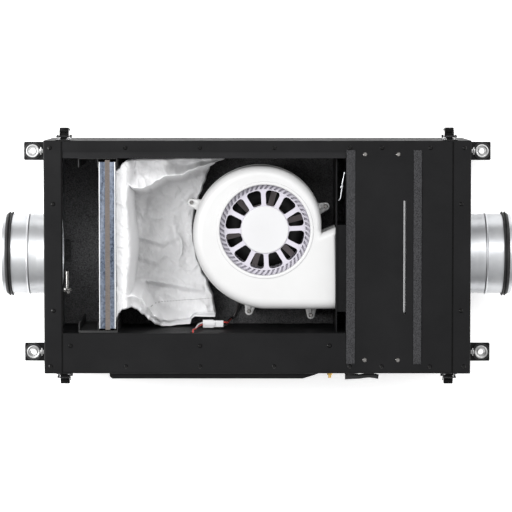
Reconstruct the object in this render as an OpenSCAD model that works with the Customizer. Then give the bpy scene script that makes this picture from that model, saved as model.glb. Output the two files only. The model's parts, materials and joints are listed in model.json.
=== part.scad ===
// Ducted supply-air unit with its service side open, lying on its mounting face.
// Frame: origin at the centre of the back (mounting) face, +Z towards the service side,
// +X towards the outlet spigot, +Y towards the hinge-free long side. All sizes in mm.

/* [Casing] */
// Length of the casing, end wall to end wall
casing_l = 655; // [655:1:675]
// Width of the casing
casing_w = 358; // [358:1:370]
// Height of the casing, back face to service face
casing_h = 190; // [190:1:200]
// Outer radius of the folded edges
bend_r = 3; // [2:0.5:4]

/* [Duct spigots] */
// Outer radius of each spigot, for a 125 mm duct
spigot_r = 62; // [60:0.5:63]
// How far each spigot stands out of its end wall
spigot_out = 68.5; // [60:0.5:80]
// Length of spigot that goes into the duct, from the tip to the stop bead
insert_l = 40; // [35:1:45]

/* [Mounting brackets] */
// Distance of each bracket hole from the end wall
hole_out = 27.5; // [26:0.5:30]
// Height of the bracket tab above the back face
tab_z = 45; // [35:1:60]
// Radius of the hole for the hanging rod
rod_hole_r = 4.5; // [4:0.1:5]

/* [Fan] */
// Radius of the round air inlet of the fan
inlet_r = 70; // [69:0.5:71]
// Number of blades on the fan wheel
blade_count = 54; // [36:2:60]
// Number of spokes on the face of the fan wheel
spoke_count = 12; // [8:1:14]

/* [Hidden] */
$fn = 64;

// Casing
hl = casing_l / 2;
hw = casing_w / 2;
top = casing_h;
sheet = 1.5;
face = top - sheet;
end_flange = 27.5;
seam = 0.5;
lip = 17;
back_board = 15;
end_board = 18.5;
floor_z = sheet + back_board;
inner_x = hl - sheet - end_board;
duct_z = 95;
gap = 0.15;
eps = 1;
slot_x = -302;
slot_w = 9;
slot_l = 36;
slot_depth = 10;

// Screws on the service face
screw_r = 1.9;
screw_hole_r = 2;
screw_head_r = 3.2;
screw_l = 8;
screw_pocket_r = 2.3;
rail_screw_x = [-202, -88, 26, 142, 191, 265];
rail_screw_in = 11;
corner_screw = [hl - 10, hw - 11];
flange_screw = [hl - 14.7, 82];
cover_screw_x = [-287, -88, 111];
cover_screw_y = -136;

// Mounting brackets
tab_w = 29;
tab_l = 41.5;
tab_t = 2.5;
tab_y = 159.5;
tab_corner = 2;
leg_h = 44;
grommet_r = 14;
grommet_t = 3.5;
neck_r = 9;
bush_r = 6.5;
bush_flange_r = 10.5;
bush_flange_t = 1.5;
rivet_r = 1.6;
rivet_head_r = 3.4;
rivet_head_h = 1.2;
bracket_rivet_z = [tab_z + 16, tab_z + 34];

// Spigots
spigot_t = 0.8;
collar_r = spigot_r + 5;
collar_t = 1.2;
bead_r = 1.6;
tip_x = hl + spigot_out;
bead_x = tip_x - insert_l;
seal_t = 0.25;
seal_from_tip = 5;
seal_l = 9;

// Toggle latches: x is along the casing, y is outward from the wall
latch_x = [-298, 296];
plate_w = 23;
plate_t = 1.5;
plate_z0 = 140;
plate_h = 42;
barrel_w = 10.6;
barrel_h = 5.8;
barrel_reach = 11;
pivot_y = 8;
pivot_z = 154;
pivot_r = 1.5;
running = 0.05;
cheek_in = 5.6;
cheek_t = 1.5;
cheek_y0 = 4;
lever_y0 = 13;
lever_t = 2;
lever_top = 156.5;
lever_bottom = 122;
cheek_bottom = 145;
curl = 2.5;
bail_y = 6;
bail_z = 148;
bail_r = 1.2;
bail_x = 8.9;
bail_top = 186;
latch_rivet_x = 7.5;
latch_rivet_z = [143.5, 178];
latch_rivet_r = 1.2;
latch_rivet_head_r = 2.2;

// Inner ledge and wiring channel
ledge_in = 27;
ledge_t = 1.5;
ledge_drop = 0.4;
ledge_leg = 17;
channel_y = -117;
channel_t = 1.2;
channel_end = 136;
channel_flange = 26;

// Filter
guide_t = 1.2;
guide_x = [-275, -245.5, -216.2];
guide_top = 180;
guide_flange = 12.5;
guide_web_hi = 150.5;
guide_web_lo = -113.5;
frame_x0 = -243;
frame_x1 = -218;
felt_x0 = -233.6;
felt_x1 = -226.4;
frame_z0 = 18;
frame_z1 = 184;
frame_y0 = -110;
frame_y1 = 146;
frame_bar = 16;
felt_y0 = -112;
felt_y1 = 149;
neck_x = -213;
roll_x = -188;
panel_z = 44;

// Fan
fan_x = 11.7;
fan_y = 40.3;
fan_back = 62;
fan_front = 162;
fan_split = 112;
fan_wall = 2.5;
edge_r = 15;
edge_steps = 3;
spiral_r0 = 87;
spiral_rate = 0.133;
spiral_step = 6;
outlet_x = 120.4;
outlet_top = 44.5;
notch_x = 99.6;
notch_y = 35.5;
bell_w = 5;
bell_h = 1.5;
rim_out = 0.8;
rim_h = 2;
// Each lug: position of its screw, and the way it points from the scroll
lugs = [[-103, 80, 161], [107, 74, 19.5], [-13, -91, 259], [84, -97, 270]];
lug_z = 92;
lug_t = 4;
lug_r = 6;
lug_root = 16;
lug_tuck = 3.5;
lug_hole_r = 2.2;
post_r = 5;
lug_screw_l = 14;
lug_screw_gap = 0.05;
plug_x0 = -85;
plug_mid = -68;
plug_x1 = -53;
plug_z = 117;
lead_hole_x = -99;
lead_hole_z = 172;
lead_r = 1.1;

// Motor and fan wheel
spider_r = 76;
spider_h = 4;
spider_arm = 9;
spider_arms = 6;
spider_turn = 15;
tube_r = 14;
tube_top = 126;
shaft_r = 4;
shaft_gap = 0.03;
bearing_r = 11;
bearing_h = 7;
bearing_z = [74, 117];
stator_r = 30;
stator_z0 = 82;
stator_h = 34;
pole_count = 12;
slot_r = 3;
rotor_in = 31.5;
rotor_r = 34;
rotor_z0 = 80;
rotor_z1 = 131;
rotor_top = 3;
shaft_top = 144;
wheel_z0 = 72;
wheel_z1 = 149;
hub_r = 36.8;
window_r = 61.6;
blade_r0 = 62.3;
blade_l = 15;
blade_r1 = 77;
blade_t = 1.5;
blade_turn = 28;
disc_t = 3;
spoke_w = 6.5;
spoke_turn = 2.5;
ring_w = 4.4;
cap_h = 2.5;
cap_edge = 1.5;
// Hairline gap under the hub cap, so that cap and wheel stay two bodies
cap_gap = 0.02;

// Partition and heater section
part_x = 121;
part_t = 2;
sleeve_t = 1.5;
sleeve_y0 = -84;
sleeve_y1 = 47;
heater_x0 = 137.5;
heater_x1 = 251;
heater_flange = 14;
lid_x0 = 150;
lid_x1 = 239.5;
lid_slot_x = 226;
lid_slot_w = 3.7;
lid_slot_l = 174;
lid_screw = [[165, 158], [216, 158]];
lid_screw_r = 1.6;
lid_head_r = 3.5;
foam_x = [[136.4, 150], [239.5, 252]];
foam_proud = 1.5;
foam_over = 2.5;
outlet_panel_x0 = 252.7;
outlet_panel_x1 = 299;
element_r = 4;
element_x = [163, 191, 219];
element_z = [55, 95, 135];
element_bend = 12;
element_y0 = -156;
element_y1 = 120;
element_plate_y = -150;
element_plate_t = 1.5;
shield_z = 172;
shield_t = 0.8;

// Temperature probe, pointing along +Y from a bracket on the inlet end lining
probe_x = -299;
probe_z = 80;
probe_y0 = -58;
probe_y1 = -29;
probe_r = 2.3;
probe_flange_r = 6;
probe_flange_t = 2.5;
probe_bracket_t = 1.5;

// Electrical parts
board_x0 = -120;
board_x1 = 30;
board_z0 = 60;
board_z1 = 160;
board_y = -126;
board_t = 1.6;
post_in = 3;
block_x0 = 44;
block_ports = 8;
block_pitch = 9;
stud_x = 112;
stud_z = 166;
gland_x = 142.5;
gland_z = 172;
cable_r = 3.6;
cable_end = 187;

casing_colour = [0.17, 0.17, 0.18];
black = [0.07, 0.07, 0.075];
board_colour = [0.12, 0.12, 0.125];
zinc = [0.74, 0.75, 0.77];
steel = [0.62, 0.63, 0.65];
white = [0.93, 0.93, 0.93];
rubber = [0.05, 0.05, 0.05];

// Copies its children to both ends of the casing
module both_ends() {
    for (side = [0, 1]) {
        mirror([side, 0, 0]) children();
    }
}

// Copies its children to both long sides of the casing
module both_sides() {
    for (side = [0, 1]) {
        mirror([0, side, 0]) children();
    }
}

// Copies its children to all four corners of the casing
module corners() {
    both_ends() both_sides() children();
}

// A plain box from its low corner to its high corner
module block(lo, hi) {
    translate(lo) cube(hi - lo);
}

// A cylinder along X from x0 to x1
module rod_x(x0, x1, r) {
    translate([x0, 0, 0]) rotate([0, 90, 0]) cylinder(r = r, h = x1 - x0);
}

// A cylinder along Y from y0 to y1
module rod_y(y0, y1, r) {
    translate([0, y1, 0]) rotate([90, 0, 0]) cylinder(r = r, h = y1 - y0);
}

// A straight round rod between two points
module strut(from, to, r) {
    step = to - from;
    translate(from)
        rotate([0, acos(step[2] / norm(step)), atan2(step[1], step[0])])
            cylinder(r = r, h = norm(step));
}

// A pan-head screw with a cross recess, its head seated on z = 0
module pan_screw(head_r, shank_r, shank_l) {
    rim = 0.8;
    crown = 1;
    recess_l = head_r * 1.1;
    recess_w = 0.8;
    difference() {
        union() {
            cylinder(r = head_r, h = rim);
            translate([0, 0, rim]) cylinder(r1 = head_r, r2 = head_r * 0.7, h = crown);
            translate([0, 0, -shank_l]) cylinder(r = shank_r, h = shank_l);
        }
        for (turn = [0, 90]) {
            rotate(turn)
                translate([-recess_l / 2, -recess_w / 2, rim]) cube([recess_l, recess_w, crown + eps]);
        }
    }
}

// Positions of the black screws of the service face, children are drawn at each
module at_casing_screws() {
    for (x = rail_screw_x) {
        both_sides() translate([x, hw - rail_screw_in, top]) children();
    }
    corners() translate([corner_screw[0], corner_screw[1], top]) children();
    corners() translate([flange_screw[0], flange_screw[1], top]) children();
    for (x = cover_screw_x) {
        translate([x, cover_screw_y, top]) children();
    }
}

// Clearance holes for those screws
module screw_holes(r) {
    at_casing_screws() translate([0, 0, -screw_l - 2]) cylinder(r = r, h = screw_l + 4);
}

// Cross-section of a folded sheet: upright wall with a rounded bend and a lip turned inward
module wall_and_lip(outer, width) {
    difference() {
        union() {
            translate([outer - width, 0]) square([width - bend_r, top]);
            translate([outer - width, 0]) square([width, top - bend_r]);
            translate([outer - bend_r, top - bend_r]) circle(bend_r);
        }
        translate([outer - width - eps, -eps]) square([width + eps - sheet, top + eps - sheet]);
    }
}

// Rivet holes of one latch, along the wall's normal
module latch_rivet_holes(r, y0, y1) {
    for (x = [-latch_rivet_x, latch_rivet_x], z = latch_rivet_z) {
        translate([x, 0, z]) rod_y(y0, y1, r);
    }
}

// Draws its children at the four latch places, in the frame of the wall
module at_latches() {
    for (x = latch_x) {
        both_sides() translate([x, hw, 0]) children();
    }
}

module casing_tub() {
    lipped = hl - end_flange - seam;
    color(casing_colour)
        difference() {
            union() {
                block([-hl + sheet, -hw, 0], [hl - sheet, hw, sheet]);
                both_sides() {
                    translate([-lipped, 0, 0])
                        rotate([90, 0, 90]) linear_extrude(2 * lipped) wall_and_lip(hw, lip);
                    block([-hl + sheet, hw - sheet, 0], [hl - sheet, hw, top - bend_r]);
                    both_ends() block([lipped, hw - sheet, 0], [hl - sheet, hw, face]);
                }
            }
            screw_holes(screw_hole_r);
            at_latches() latch_rivet_holes(latch_rivet_r + running, -sheet - eps, eps);
            translate([stud_x, 0, stud_z]) rod_y(-hw - eps, -hw + sheet + eps, 2.6);
            translate([gland_x, 0, gland_z]) rod_y(-hw - eps, -hw + sheet + eps, 6.1);
        }
}

module end_panel() {
    color(casing_colour)
        difference() {
            translate([0, hw, 0])
                rotate([90, 0, 0]) linear_extrude(casing_w) wall_and_lip(hl, end_flange);
            translate([0, 0, duct_z]) rod_x(hl - sheet - eps, hl + eps, spigot_r + gap);
            screw_holes(screw_hole_r);
            both_sides() bracket_rivet_holes(hl - sheet - eps, hl + eps);
        }
}

module end_panel_inlet() {
    mirror([1, 0, 0]) end_panel();
}

module end_panel_outlet() {
    end_panel();
}

module back_lining() {
    color(board_colour)
        difference() {
            block([-inner_x, -hw + sheet, sheet], [inner_x, hw - sheet, floor_z]);
            for (y = [-(slot_l - slot_w) / 2, (slot_l - slot_w) / 2]) {
                translate([slot_x, y, floor_z - slot_depth]) cylinder(d = slot_w, h = slot_depth + eps);
            }
            block([slot_x - slot_w / 2, -(slot_l - slot_w) / 2, floor_z - slot_depth],
                  [slot_x + slot_w / 2, (slot_l - slot_w) / 2, floor_z + eps]);
        }
}

module end_linings() {
    color(board_colour)
        difference() {
            both_ends() block([inner_x, -hw + sheet, sheet], [hl - sheet, hw - sheet, face]);
            both_ends() translate([0, 0, duct_z]) rod_x(inner_x - eps, hl, spigot_r + gap);
            screw_holes(screw_pocket_r);
        }
}

module side_linings() {
    color(board_colour)
        difference() {
            union() {
                block([-inner_x, hw - lip, floor_z], [inner_x, hw - sheet, face]);
                block([heater_x0, -hw + sheet, floor_z], [inner_x, -hw + lip, face]);
            }
            screw_holes(screw_pocket_r);
            translate([gland_x, 0, gland_z]) rod_y(-hw, -hw + sheet + 5, 9);
        }
}

module inner_ledge() {
    color(casing_colour) {
        z1 = face - ledge_drop;
        block([-hl + end_flange, hw - ledge_in, z1 - ledge_t], [channel_end, hw - lip, z1]);
        block([-hl + end_flange, hw - lip - ledge_t, z1 - ledge_leg],
              [channel_end, hw - lip, z1 - ledge_t]);
    }
}

module casing_screws() {
    color(black) at_casing_screws() pan_screw(screw_head_r, screw_r, screw_l);
}

// Rivet holes of the bracket leg, along X
module bracket_rivet_holes(x0, x1, r = rivet_r + running) {
    for (z = bracket_rivet_z) {
        translate([0, tab_y, z]) rod_x(x0, x1, r);
    }
}

module mounting_brackets() {
    color(black)
        corners()
            difference() {
                union() {
                    block([hl, tab_y - tab_w / 2, tab_z],
                          [hl + tab_l - tab_corner, tab_y + tab_w / 2, tab_z + tab_t]);
                    for (y = [-tab_w / 2 + tab_corner, tab_w / 2 - tab_corner]) {
                        translate([hl + tab_l - tab_corner, tab_y + y, tab_z])
                            cylinder(r = tab_corner, h = tab_t);
                    }
                    block([hl + tab_l - 2 * tab_corner, tab_y - tab_w / 2 + tab_corner, tab_z],
                          [hl + tab_l, tab_y + tab_w / 2 - tab_corner, tab_z + tab_t]);
                    block([hl, tab_y - tab_w / 2, tab_z], [hl + tab_t, tab_y + tab_w / 2, tab_z + leg_h]);
                }
                translate([hl + hole_out, tab_y, tab_z - eps]) cylinder(r = neck_r, h = tab_t + 2 * eps);
                bracket_rivet_holes(hl - eps, hl + tab_t + eps);
            }
}

module bracket_grommets() {
    color(rubber)
        corners()
            translate([hl + hole_out, tab_y, tab_z])
                difference() {
                    union() {
                        translate([0, 0, -grommet_t]) cylinder(r = grommet_r, h = grommet_t);
                        cylinder(r = neck_r, h = tab_t);
                        translate([0, 0, tab_t]) cylinder(r = grommet_r, h = grommet_t - 1);
                        translate([0, 0, tab_t + grommet_t - 1])
                            cylinder(r1 = grommet_r, r2 = grommet_r - 1, h = 1);
                    }
                    translate([0, 0, -grommet_t - eps]) cylinder(r = bush_r, h = tab_t + 2 * grommet_t + 2 * eps);
                }
}

module bracket_bushes() {
    color(zinc)
        corners()
            translate([hl + hole_out, tab_y, tab_z])
                difference() {
                    union() {
                        translate([0, 0, -grommet_t]) cylinder(r = bush_r, h = tab_t + 2 * grommet_t);
                        translate([0, 0, tab_t + grommet_t]) cylinder(r = bush_flange_r, h = bush_flange_t);
                    }
                    translate([0, 0, -grommet_t - eps]) cylinder(r = rod_hole_r, h = 20);
                }
}

module rivets() {
    color(steel) {
        corners() {
            bracket_rivet_holes(hl - sheet, hl + tab_t, rivet_r);
            for (z = bracket_rivet_z) {
                translate([hl + tab_t, tab_y, z]) rotate([0, 90, 0])
                    cylinder(r1 = rivet_head_r, r2 = rivet_head_r * 0.6, h = rivet_head_h);
            }
        }
        at_latches() {
            latch_rivet_holes(latch_rivet_r, -sheet, plate_t);
            for (x = [-latch_rivet_x, latch_rivet_x], z = latch_rivet_z) {
                translate([x, plate_t, z]) rotate([-90, 0, 0])
                    cylinder(r1 = latch_rivet_head_r, r2 = latch_rivet_head_r * 0.6, h = 1);
            }
        }
    }
}

// A spigot pointing along +X: tube with an outer collar at the wall and a stop bead
module spigot() {
    color(zinc)
        translate([0, 0, duct_z]) rotate([0, 90, 0])
            rotate_extrude()
                difference() {
                    union() {
                        translate([spigot_r - spigot_t, inner_x]) square([spigot_t, tip_x - inner_x]);
                        translate([spigot_r - spigot_t, hl]) square([collar_r - spigot_r + spigot_t, collar_t]);
                        translate([spigot_r, bead_x]) circle(bead_r);
                    }
                    translate([spigot_r - spigot_t - 2 * bead_r, bead_x - 2 * bead_r])
                        square([2 * bead_r, 4 * bead_r]);
                }
}

module inlet_spigot() {
    mirror([1, 0, 0]) spigot();
}

module outlet_spigot() {
    spigot();
}

module spigot_seals() {
    x1 = tip_x - seal_from_tip;
    color(rubber)
        both_ends()
            translate([0, 0, duct_z])
                difference() {
                    rod_x(x1 - seal_l, x1, spigot_r + seal_t);
                    rod_x(x1 - seal_l - eps, x1 + eps, spigot_r);
                }
}

module latch_bases() {
    color(black)
        at_latches()
            difference() {
                union() {
                    block([-plate_w / 2, 0, plate_z0], [plate_w / 2, plate_t, plate_z0 + plate_h]);
                    block([-barrel_w / 2, plate_t, pivot_z - barrel_h / 2],
                          [barrel_w / 2, barrel_reach, pivot_z + barrel_h / 2]);
                }
                latch_rivet_holes(latch_rivet_r + running, -eps, plate_t + eps);
                translate([0, pivot_y, pivot_z]) rod_x(-plate_w, plate_w, pivot_r + running);
            }
}

// Lever of one latch: finger plate, two cheeks and two stub pins
module latch_lever() {
    outer = cheek_in + cheek_t;
    color(black)
        difference() {
            union() {
                block([-outer, lever_y0, lever_bottom], [outer, lever_y0 + lever_t, lever_top]);
                block([-outer, lever_y0 + lever_t, lever_bottom],
                      [outer, lever_y0 + lever_t + curl, lever_bottom + lever_t]);
                for (side = [0, 1]) {
                    mirror([side, 0, 0]) {
                        block([cheek_in, cheek_y0, cheek_bottom], [outer, lever_y0, lever_top]);
                        translate([0, pivot_y, pivot_z]) rod_x(barrel_w / 2 - 1.8, cheek_in, pivot_r);
                    }
                }
            }
            translate([0, bail_y, bail_z]) rod_x(-plate_w, plate_w, bail_r + running);
        }
}

// Wire bail of one latch, turned in at its ends into the lever's cheeks
module latch_bail() {
    color(steel) {
        for (side = [0, 1]) {
            mirror([side, 0, 0]) {
                translate([0, bail_y, bail_z]) rod_x(cheek_in + 0.15, bail_x, bail_r);
                translate([bail_x, bail_y, bail_z]) sphere(r = bail_r);
                translate([bail_x, bail_y, bail_z]) cylinder(r = bail_r, h = bail_top - bail_z);
                translate([bail_x, bail_y, bail_top]) sphere(r = bail_r);
            }
        }
        translate([0, bail_y, bail_top]) rod_x(-bail_x, bail_x, bail_r);
    }
}

// Places one latch part: i counts inlet +Y, outlet +Y, inlet -Y, outlet -Y
module at_latch(i) {
    mirror([0, i < 2 ? 0 : 1, 0]) translate([latch_x[i % 2], hw, 0]) children();
}

module filter_guides() {
    color(black) {
        block([guide_x[0], guide_web_hi, floor_z],
              [guide_x[2] + guide_t, hw - lip - ledge_t, guide_top]);
        block([guide_x[0], channel_y, floor_z], [guide_x[2] + guide_t, guide_web_lo, guide_top]);
        for (x = guide_x) {
            block([x, guide_web_hi - guide_flange, floor_z], [x + guide_t, guide_web_hi, guide_top]);
            block([x, guide_web_lo, floor_z], [x + guide_t, guide_web_lo + guide_flange, guide_top]);
        }
    }
}

// A rectangular ring in the plane across the air flow
module filter_ring(x0, x1, y0, y1, bar) {
    difference() {
        block([x0, y0, frame_z0], [x1, y1, frame_z1]);
        block([x0 - eps, y0 + bar, frame_z0 + bar], [x1 + eps, y1 - bar, frame_z1 - bar]);
    }
}

module filter_frame() {
    color(zinc) {
        filter_ring(frame_x0, felt_x0, frame_y0, frame_y1, frame_bar);
        filter_ring(felt_x1, frame_x1, frame_y0, frame_y1, frame_bar);
    }
}

module filter_felt() {
    color([0.42, 0.38, 0.36]) filter_ring(felt_x0, felt_x1, felt_y0, felt_y1, frame_bar + 3);
}

// Outline of the fan scroll seen from the front, drawn in by inset
function scroll_points(inset, end_x) = concat(
    [for (a = [0 : spiral_step : 270])
        [fan_x + (spiral_r0 + spiral_rate * a - inset) * cos(a),
         fan_y + (spiral_r0 + spiral_rate * a - inset) * sin(a)]],
    [[end_x, fan_y - spiral_r0 - spiral_rate * 270 + inset],
     [end_x, outlet_top - inset],
     [notch_x, notch_y - inset]]
);

// Half of the scroll's volume, from the parting plane up to z_far, its far edge rounded by r
module scroll_half(inset, end_x, depth, r) {
    linear_extrude(depth - r) polygon(scroll_points(inset, end_x));
    for (i = [0 : edge_steps - 1]) {
        high = r * sin(90 * (i + 1) / edge_steps);
        draw_in = r * (1 - cos(90 * (i + 0.5) / edge_steps));
        linear_extrude(depth - r + high) polygon(scroll_points(inset + draw_in, end_x));
    }
}

// One moulded half of the scroll with its cavity, open at the outlet
module scroll_shell(depth) {
    difference() {
        union() {
            scroll_half(0, outlet_x, depth, edge_r);
            children();
        }
        translate([0, 0, -eps])
            scroll_half(fan_wall, outlet_x + eps, depth - fan_wall + eps, edge_r - fan_wall);
    }
}

module filter_bag() {
    clear = 1.6;
    outline_r = lug_r + clear;
    color(white)
        difference() {
            union() {
                block([frame_x1, -94, 34], [neck_x, 130, 168]);
                block([neck_x, -92, 24], [roll_x, 149, 170]);
                block([roll_x, -113, 24], [-50, 149, panel_z]);
                block([roll_x, 112, panel_z], [-70, 149, 150]);
                block([roll_x, -112, panel_z], [-145, -72, 118]);
                block([neck_x, -106, 24], [roll_x, -92, 60]);
            }
            linear_extrude(top) polygon(scroll_points(-clear, outlet_x));
            translate([lugs[0][0], lugs[0][1], 0])
                rotate(lugs[0][2])
                    linear_extrude(top)
                        polygon([[outline_r, -outline_r], [outline_r, outline_r],
                                 [-lug_root, outline_r + lug_root / 4],
                                 [-lug_root, -outline_r - lug_root / 4]]);
            block([-101, -hw, 0], [0, -99, top]);
            block([-66, -hw, 0], [0, -30, top]);
        }
}

module scroll_front() {
    color(white)
        translate([0, 0, fan_split]) {
            difference() {
                scroll_shell(fan_front - fan_split)
                    linear_extrude(rim_h) polygon(scroll_points(-rim_out, outlet_x));
                translate([fan_x, fan_y, 0]) cylinder(r = inlet_r, h = fan_front);
            }
            translate([fan_x, fan_y, fan_front - fan_split])
                difference() {
                    cylinder(r1 = inlet_r + bell_w, r2 = inlet_r + bell_w - bell_h, h = bell_h);
                    translate([0, 0, -eps]) cylinder(r = inlet_r, h = bell_h + 2 * eps);
                }
        }
}

// Screw lugs of the scroll, in the casing frame
module scroll_lugs() {
    for (l = lugs) {
        translate([l[0], l[1], lug_z])
            rotate(l[2])
                linear_extrude(lug_t)
                    difference() {
                        union() {
                            circle(lug_r);
                            polygon([[lug_tuck, lug_tuck], [-lug_root, lug_r + lug_root / 4],
                                     [-lug_root, -lug_r - lug_root / 4], [lug_tuck, -lug_tuck]]);
                        }
                        circle(lug_hole_r);
                    }
    }
}

module scroll_back() {
    color(white)
        translate([0, 0, fan_split]) mirror([0, 0, 1])
            scroll_shell(fan_split - fan_back)
                translate([0, 0, fan_split]) mirror([0, 0, 1]) scroll_lugs();
}

module fan_posts() {
    color(black)
        for (l = lugs) {
            translate([l[0], l[1], 0])
                difference() {
                    translate([0, 0, floor_z]) cylinder(r = post_r, h = lug_z - floor_z);
                    translate([0, 0, lug_z - 12]) cylinder(r = screw_r + lug_screw_gap, h = 12 + eps);
                }
        }
}

module fan_screws() {
    color(steel)
        for (l = lugs) {
            translate([l[0], l[1], lug_z + lug_t]) pan_screw(screw_head_r, screw_r, lug_screw_l);
        }
}

// Draws its children on the axis of the fan
module at_fan() {
    translate([fan_x, fan_y, 0]) children();
}

module motor_base() {
    floor_top = fan_back + fan_wall;
    color([0.42, 0.38, 0.37])
        at_fan()
            difference() {
                union() {
                    translate([0, 0, floor_top]) cylinder(r = hub_r, h = spider_h);
                    translate([0, 0, floor_top]) cylinder(r = tube_r, h = tube_top - floor_top);
                    for (i = [0 : spider_arms - 1]) {
                        rotate(spider_turn + i * 360 / spider_arms)
                            block([hub_r - 5, -spider_arm / 2, floor_top], [spider_r, spider_arm / 2, floor_top + spider_h]);
                    }
                }
                translate([0, 0, bearing_z[0]]) cylinder(r = bearing_r, h = tube_top);
                translate([0, 0, floor_top + 3]) cylinder(r = bearing_r - 3, h = tube_top);
            }
}

module motor_stator() {
    color([0.55, 0.36, 0.2])
        at_fan()
            translate([0, 0, stator_z0])
                difference() {
                    cylinder(r = stator_r, h = stator_h);
                    translate([0, 0, -eps]) cylinder(r = tube_r, h = stator_h + 2 * eps);
                    for (i = [0 : pole_count - 1]) {
                        rotate(i * 360 / pole_count)
                            translate([stator_r - 6, 0, -eps]) cylinder(r = slot_r, h = stator_h + 2 * eps);
                    }
                }
}

module motor_bearings() {
    color(steel)
        at_fan()
            for (z = bearing_z) {
                translate([0, 0, z])
                    difference() {
                        cylinder(r = bearing_r, h = bearing_h);
                        translate([0, 0, -eps]) cylinder(r = shaft_r, h = bearing_h + 2 * eps);
                    }
            }
}

module motor_shaft() {
    color(zinc)
        at_fan()
            translate([0, 0, bearing_z[0] - 1]) cylinder(r = shaft_r - shaft_gap, h = shaft_top - bearing_z[0] + 1);
}

module motor_rotor() {
    color(steel)
        at_fan()
            difference() {
                translate([0, 0, rotor_z0]) cylinder(r = rotor_r, h = rotor_z1 - rotor_z0);
                translate([0, 0, rotor_z0 - eps]) cylinder(r = rotor_in, h = rotor_z1 - rotor_top - rotor_z0 + eps);
                cylinder(r = shaft_r - shaft_gap, h = top);
            }
}

module impeller() {
    color(white)
        at_fan() {
            rotate(180 / spoke_count)
                difference() {
                    translate([0, 0, rotor_z0]) cylinder(r = hub_r, h = wheel_z1 - rotor_z0);
                    translate([0, 0, rotor_z0 - eps]) cylinder(r = rotor_r, h = rotor_z1 - rotor_z0 + eps);
                    cylinder(r = shaft_r - shaft_gap, h = shaft_top);
                }
            for (i = [0 : spoke_count - 1]) {
                rotate(i * 360 / spoke_count + spoke_turn)
                    block([hub_r - 1, -spoke_w / 2, wheel_z1 - disc_t], [window_r + 1, spoke_w / 2, wheel_z1]);
            }
            for (i = [0 : blade_count - 1]) {
                rotate(i * 360 / blade_count)
                    translate([blade_r0, 0, wheel_z0])
                        rotate(-blade_turn)
                            translate([0, -blade_t / 2, 0]) cube([blade_l, blade_t, wheel_z1 - wheel_z0 - 2]);
            }
            wheel_ring(window_r, window_r + ring_w, wheel_z1 - disc_t, wheel_z1);
            wheel_ring(inlet_r + 1, blade_r1, wheel_z1 - disc_t - 1, wheel_z1 - 1);
            wheel_ring(window_r, blade_r1, wheel_z0 - 0.5, wheel_z0 + disc_t);
        }
}

// A flat ring about the fan axis
module wheel_ring(r0, r1, z0, z1) {
    translate([0, 0, z0])
        difference() {
            cylinder(r = r1, h = z1 - z0);
            translate([0, 0, -eps]) cylinder(r = r0, h = z1 - z0 + 2 * eps);
        }
}

module hub_cap() {
    color(white)
        at_fan()
            translate([0, 0, wheel_z1 + cap_gap]) {
                cylinder(r = hub_r, h = cap_h - cap_edge);
                translate([0, 0, cap_h - cap_edge]) cylinder(r1 = hub_r, r2 = hub_r - cap_edge, h = cap_edge);
            }
}

module fan_plug() {
    color(white) {
        block([plug_x0, -114.5, plug_z - 5], [plug_mid, -102.5, plug_z + 5]);
        block([plug_mid, -113, plug_z - 3.5], [plug_x1, -104, plug_z + 3.5]);
    }
}

module fan_lead() {
    color([0.5, 0.08, 0.06])
        difference() {
            for (shift = [0, 3]) {
                hole_z = lead_hole_z + shift - 1.5;
                strut([plug_x0 + 2, -109 + shift, plug_z], [lead_hole_x, -113, hole_z], lead_r);
                strut([lead_hole_x, -112, hole_z], [lead_hole_x, channel_y - channel_t, hole_z], lead_r);
                strut([plug_x1 - 2, -109 + shift, plug_z], [-40, -109 + shift, 24], lead_r);
                strut([-40, -109 + shift, 24], [-8 + shift, -10, fan_back - 2], lead_r);
            }
            block([plug_x0, -114.5, plug_z - 5], [plug_x1, -102.5, plug_z + 5]);
        }
}

module partition() {
    z0 = fan_back - 1.5;
    z1 = fan_front + 1.5;
    color(black)
        difference() {
            union() {
                block([part_x, channel_y, floor_z], [part_x + part_t, hw - lip - ledge_t, 168]);
                block([part_x, sleeve_y0 - sleeve_t, z0 - sleeve_t],
                      [heater_x0, sleeve_y1 + sleeve_t, z1 + sleeve_t]);
            }
            block([part_x - eps, sleeve_y0, z0], [heater_x0 + eps, sleeve_y1, z1]);
        }
}

module sensor_clip() {
    color(steel) {
        block([part_x + part_t, 90, 160], [part_x + part_t + 1, 138, 168]);
        translate([part_x + part_t, 98, 164]) rod_x(0, 9, 1);
        strut([part_x + part_t + 3, 92, 169], [part_x + part_t + 10, 136, 171], 0.9);
        block([part_x + part_t, 112, 168], [part_x + part_t + 7, 116, 171]);
    }
}

module heater_box() {
    flange_z = face - sheet;
    color(zinc)
        difference() {
            block([heater_x0, -hw + lip, floor_z], [heater_x1, hw - lip, face]);
            block([heater_x0 + sheet, -hw + lip + sheet, floor_z + sheet],
                  [heater_x1 - sheet, hw - lip - sheet, flange_z]);
            block([heater_x0 + heater_flange, -hw + lip + heater_flange, flange_z - eps],
                  [heater_x1 - heater_flange, hw - lip - heater_flange, top]);
            block([heater_x0 - eps, sleeve_y0, fan_back - 1.5], [heater_x0 + 5, sleeve_y1, fan_front + 1.5]);
            block([heater_x1 - 5, -130, 30], [heater_x1 + eps, 130, 165]);
            lid_screw_holes();
        }
}

// Clearance holes of the heater lid's screws
module lid_screw_holes() {
    for (p = lid_screw) {
        both_sides() translate([p[0], p[1], face - 12]) cylinder(r = lid_screw_r + running, h = 20);
    }
}

module heater_elements() {
    color(steel)
        for (x = element_x, z = element_z) {
            translate([x, 0, z]) {
                for (side = [-1, 1]) {
                    translate([side * element_bend / 2, 0, 0]) rod_y(element_y0, element_y1, element_r);
                }
                translate([0, element_y1, 0])
                    rotate_extrude(angle = 180) translate([element_bend / 2, 0]) circle(element_r);
            }
        }
}

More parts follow.
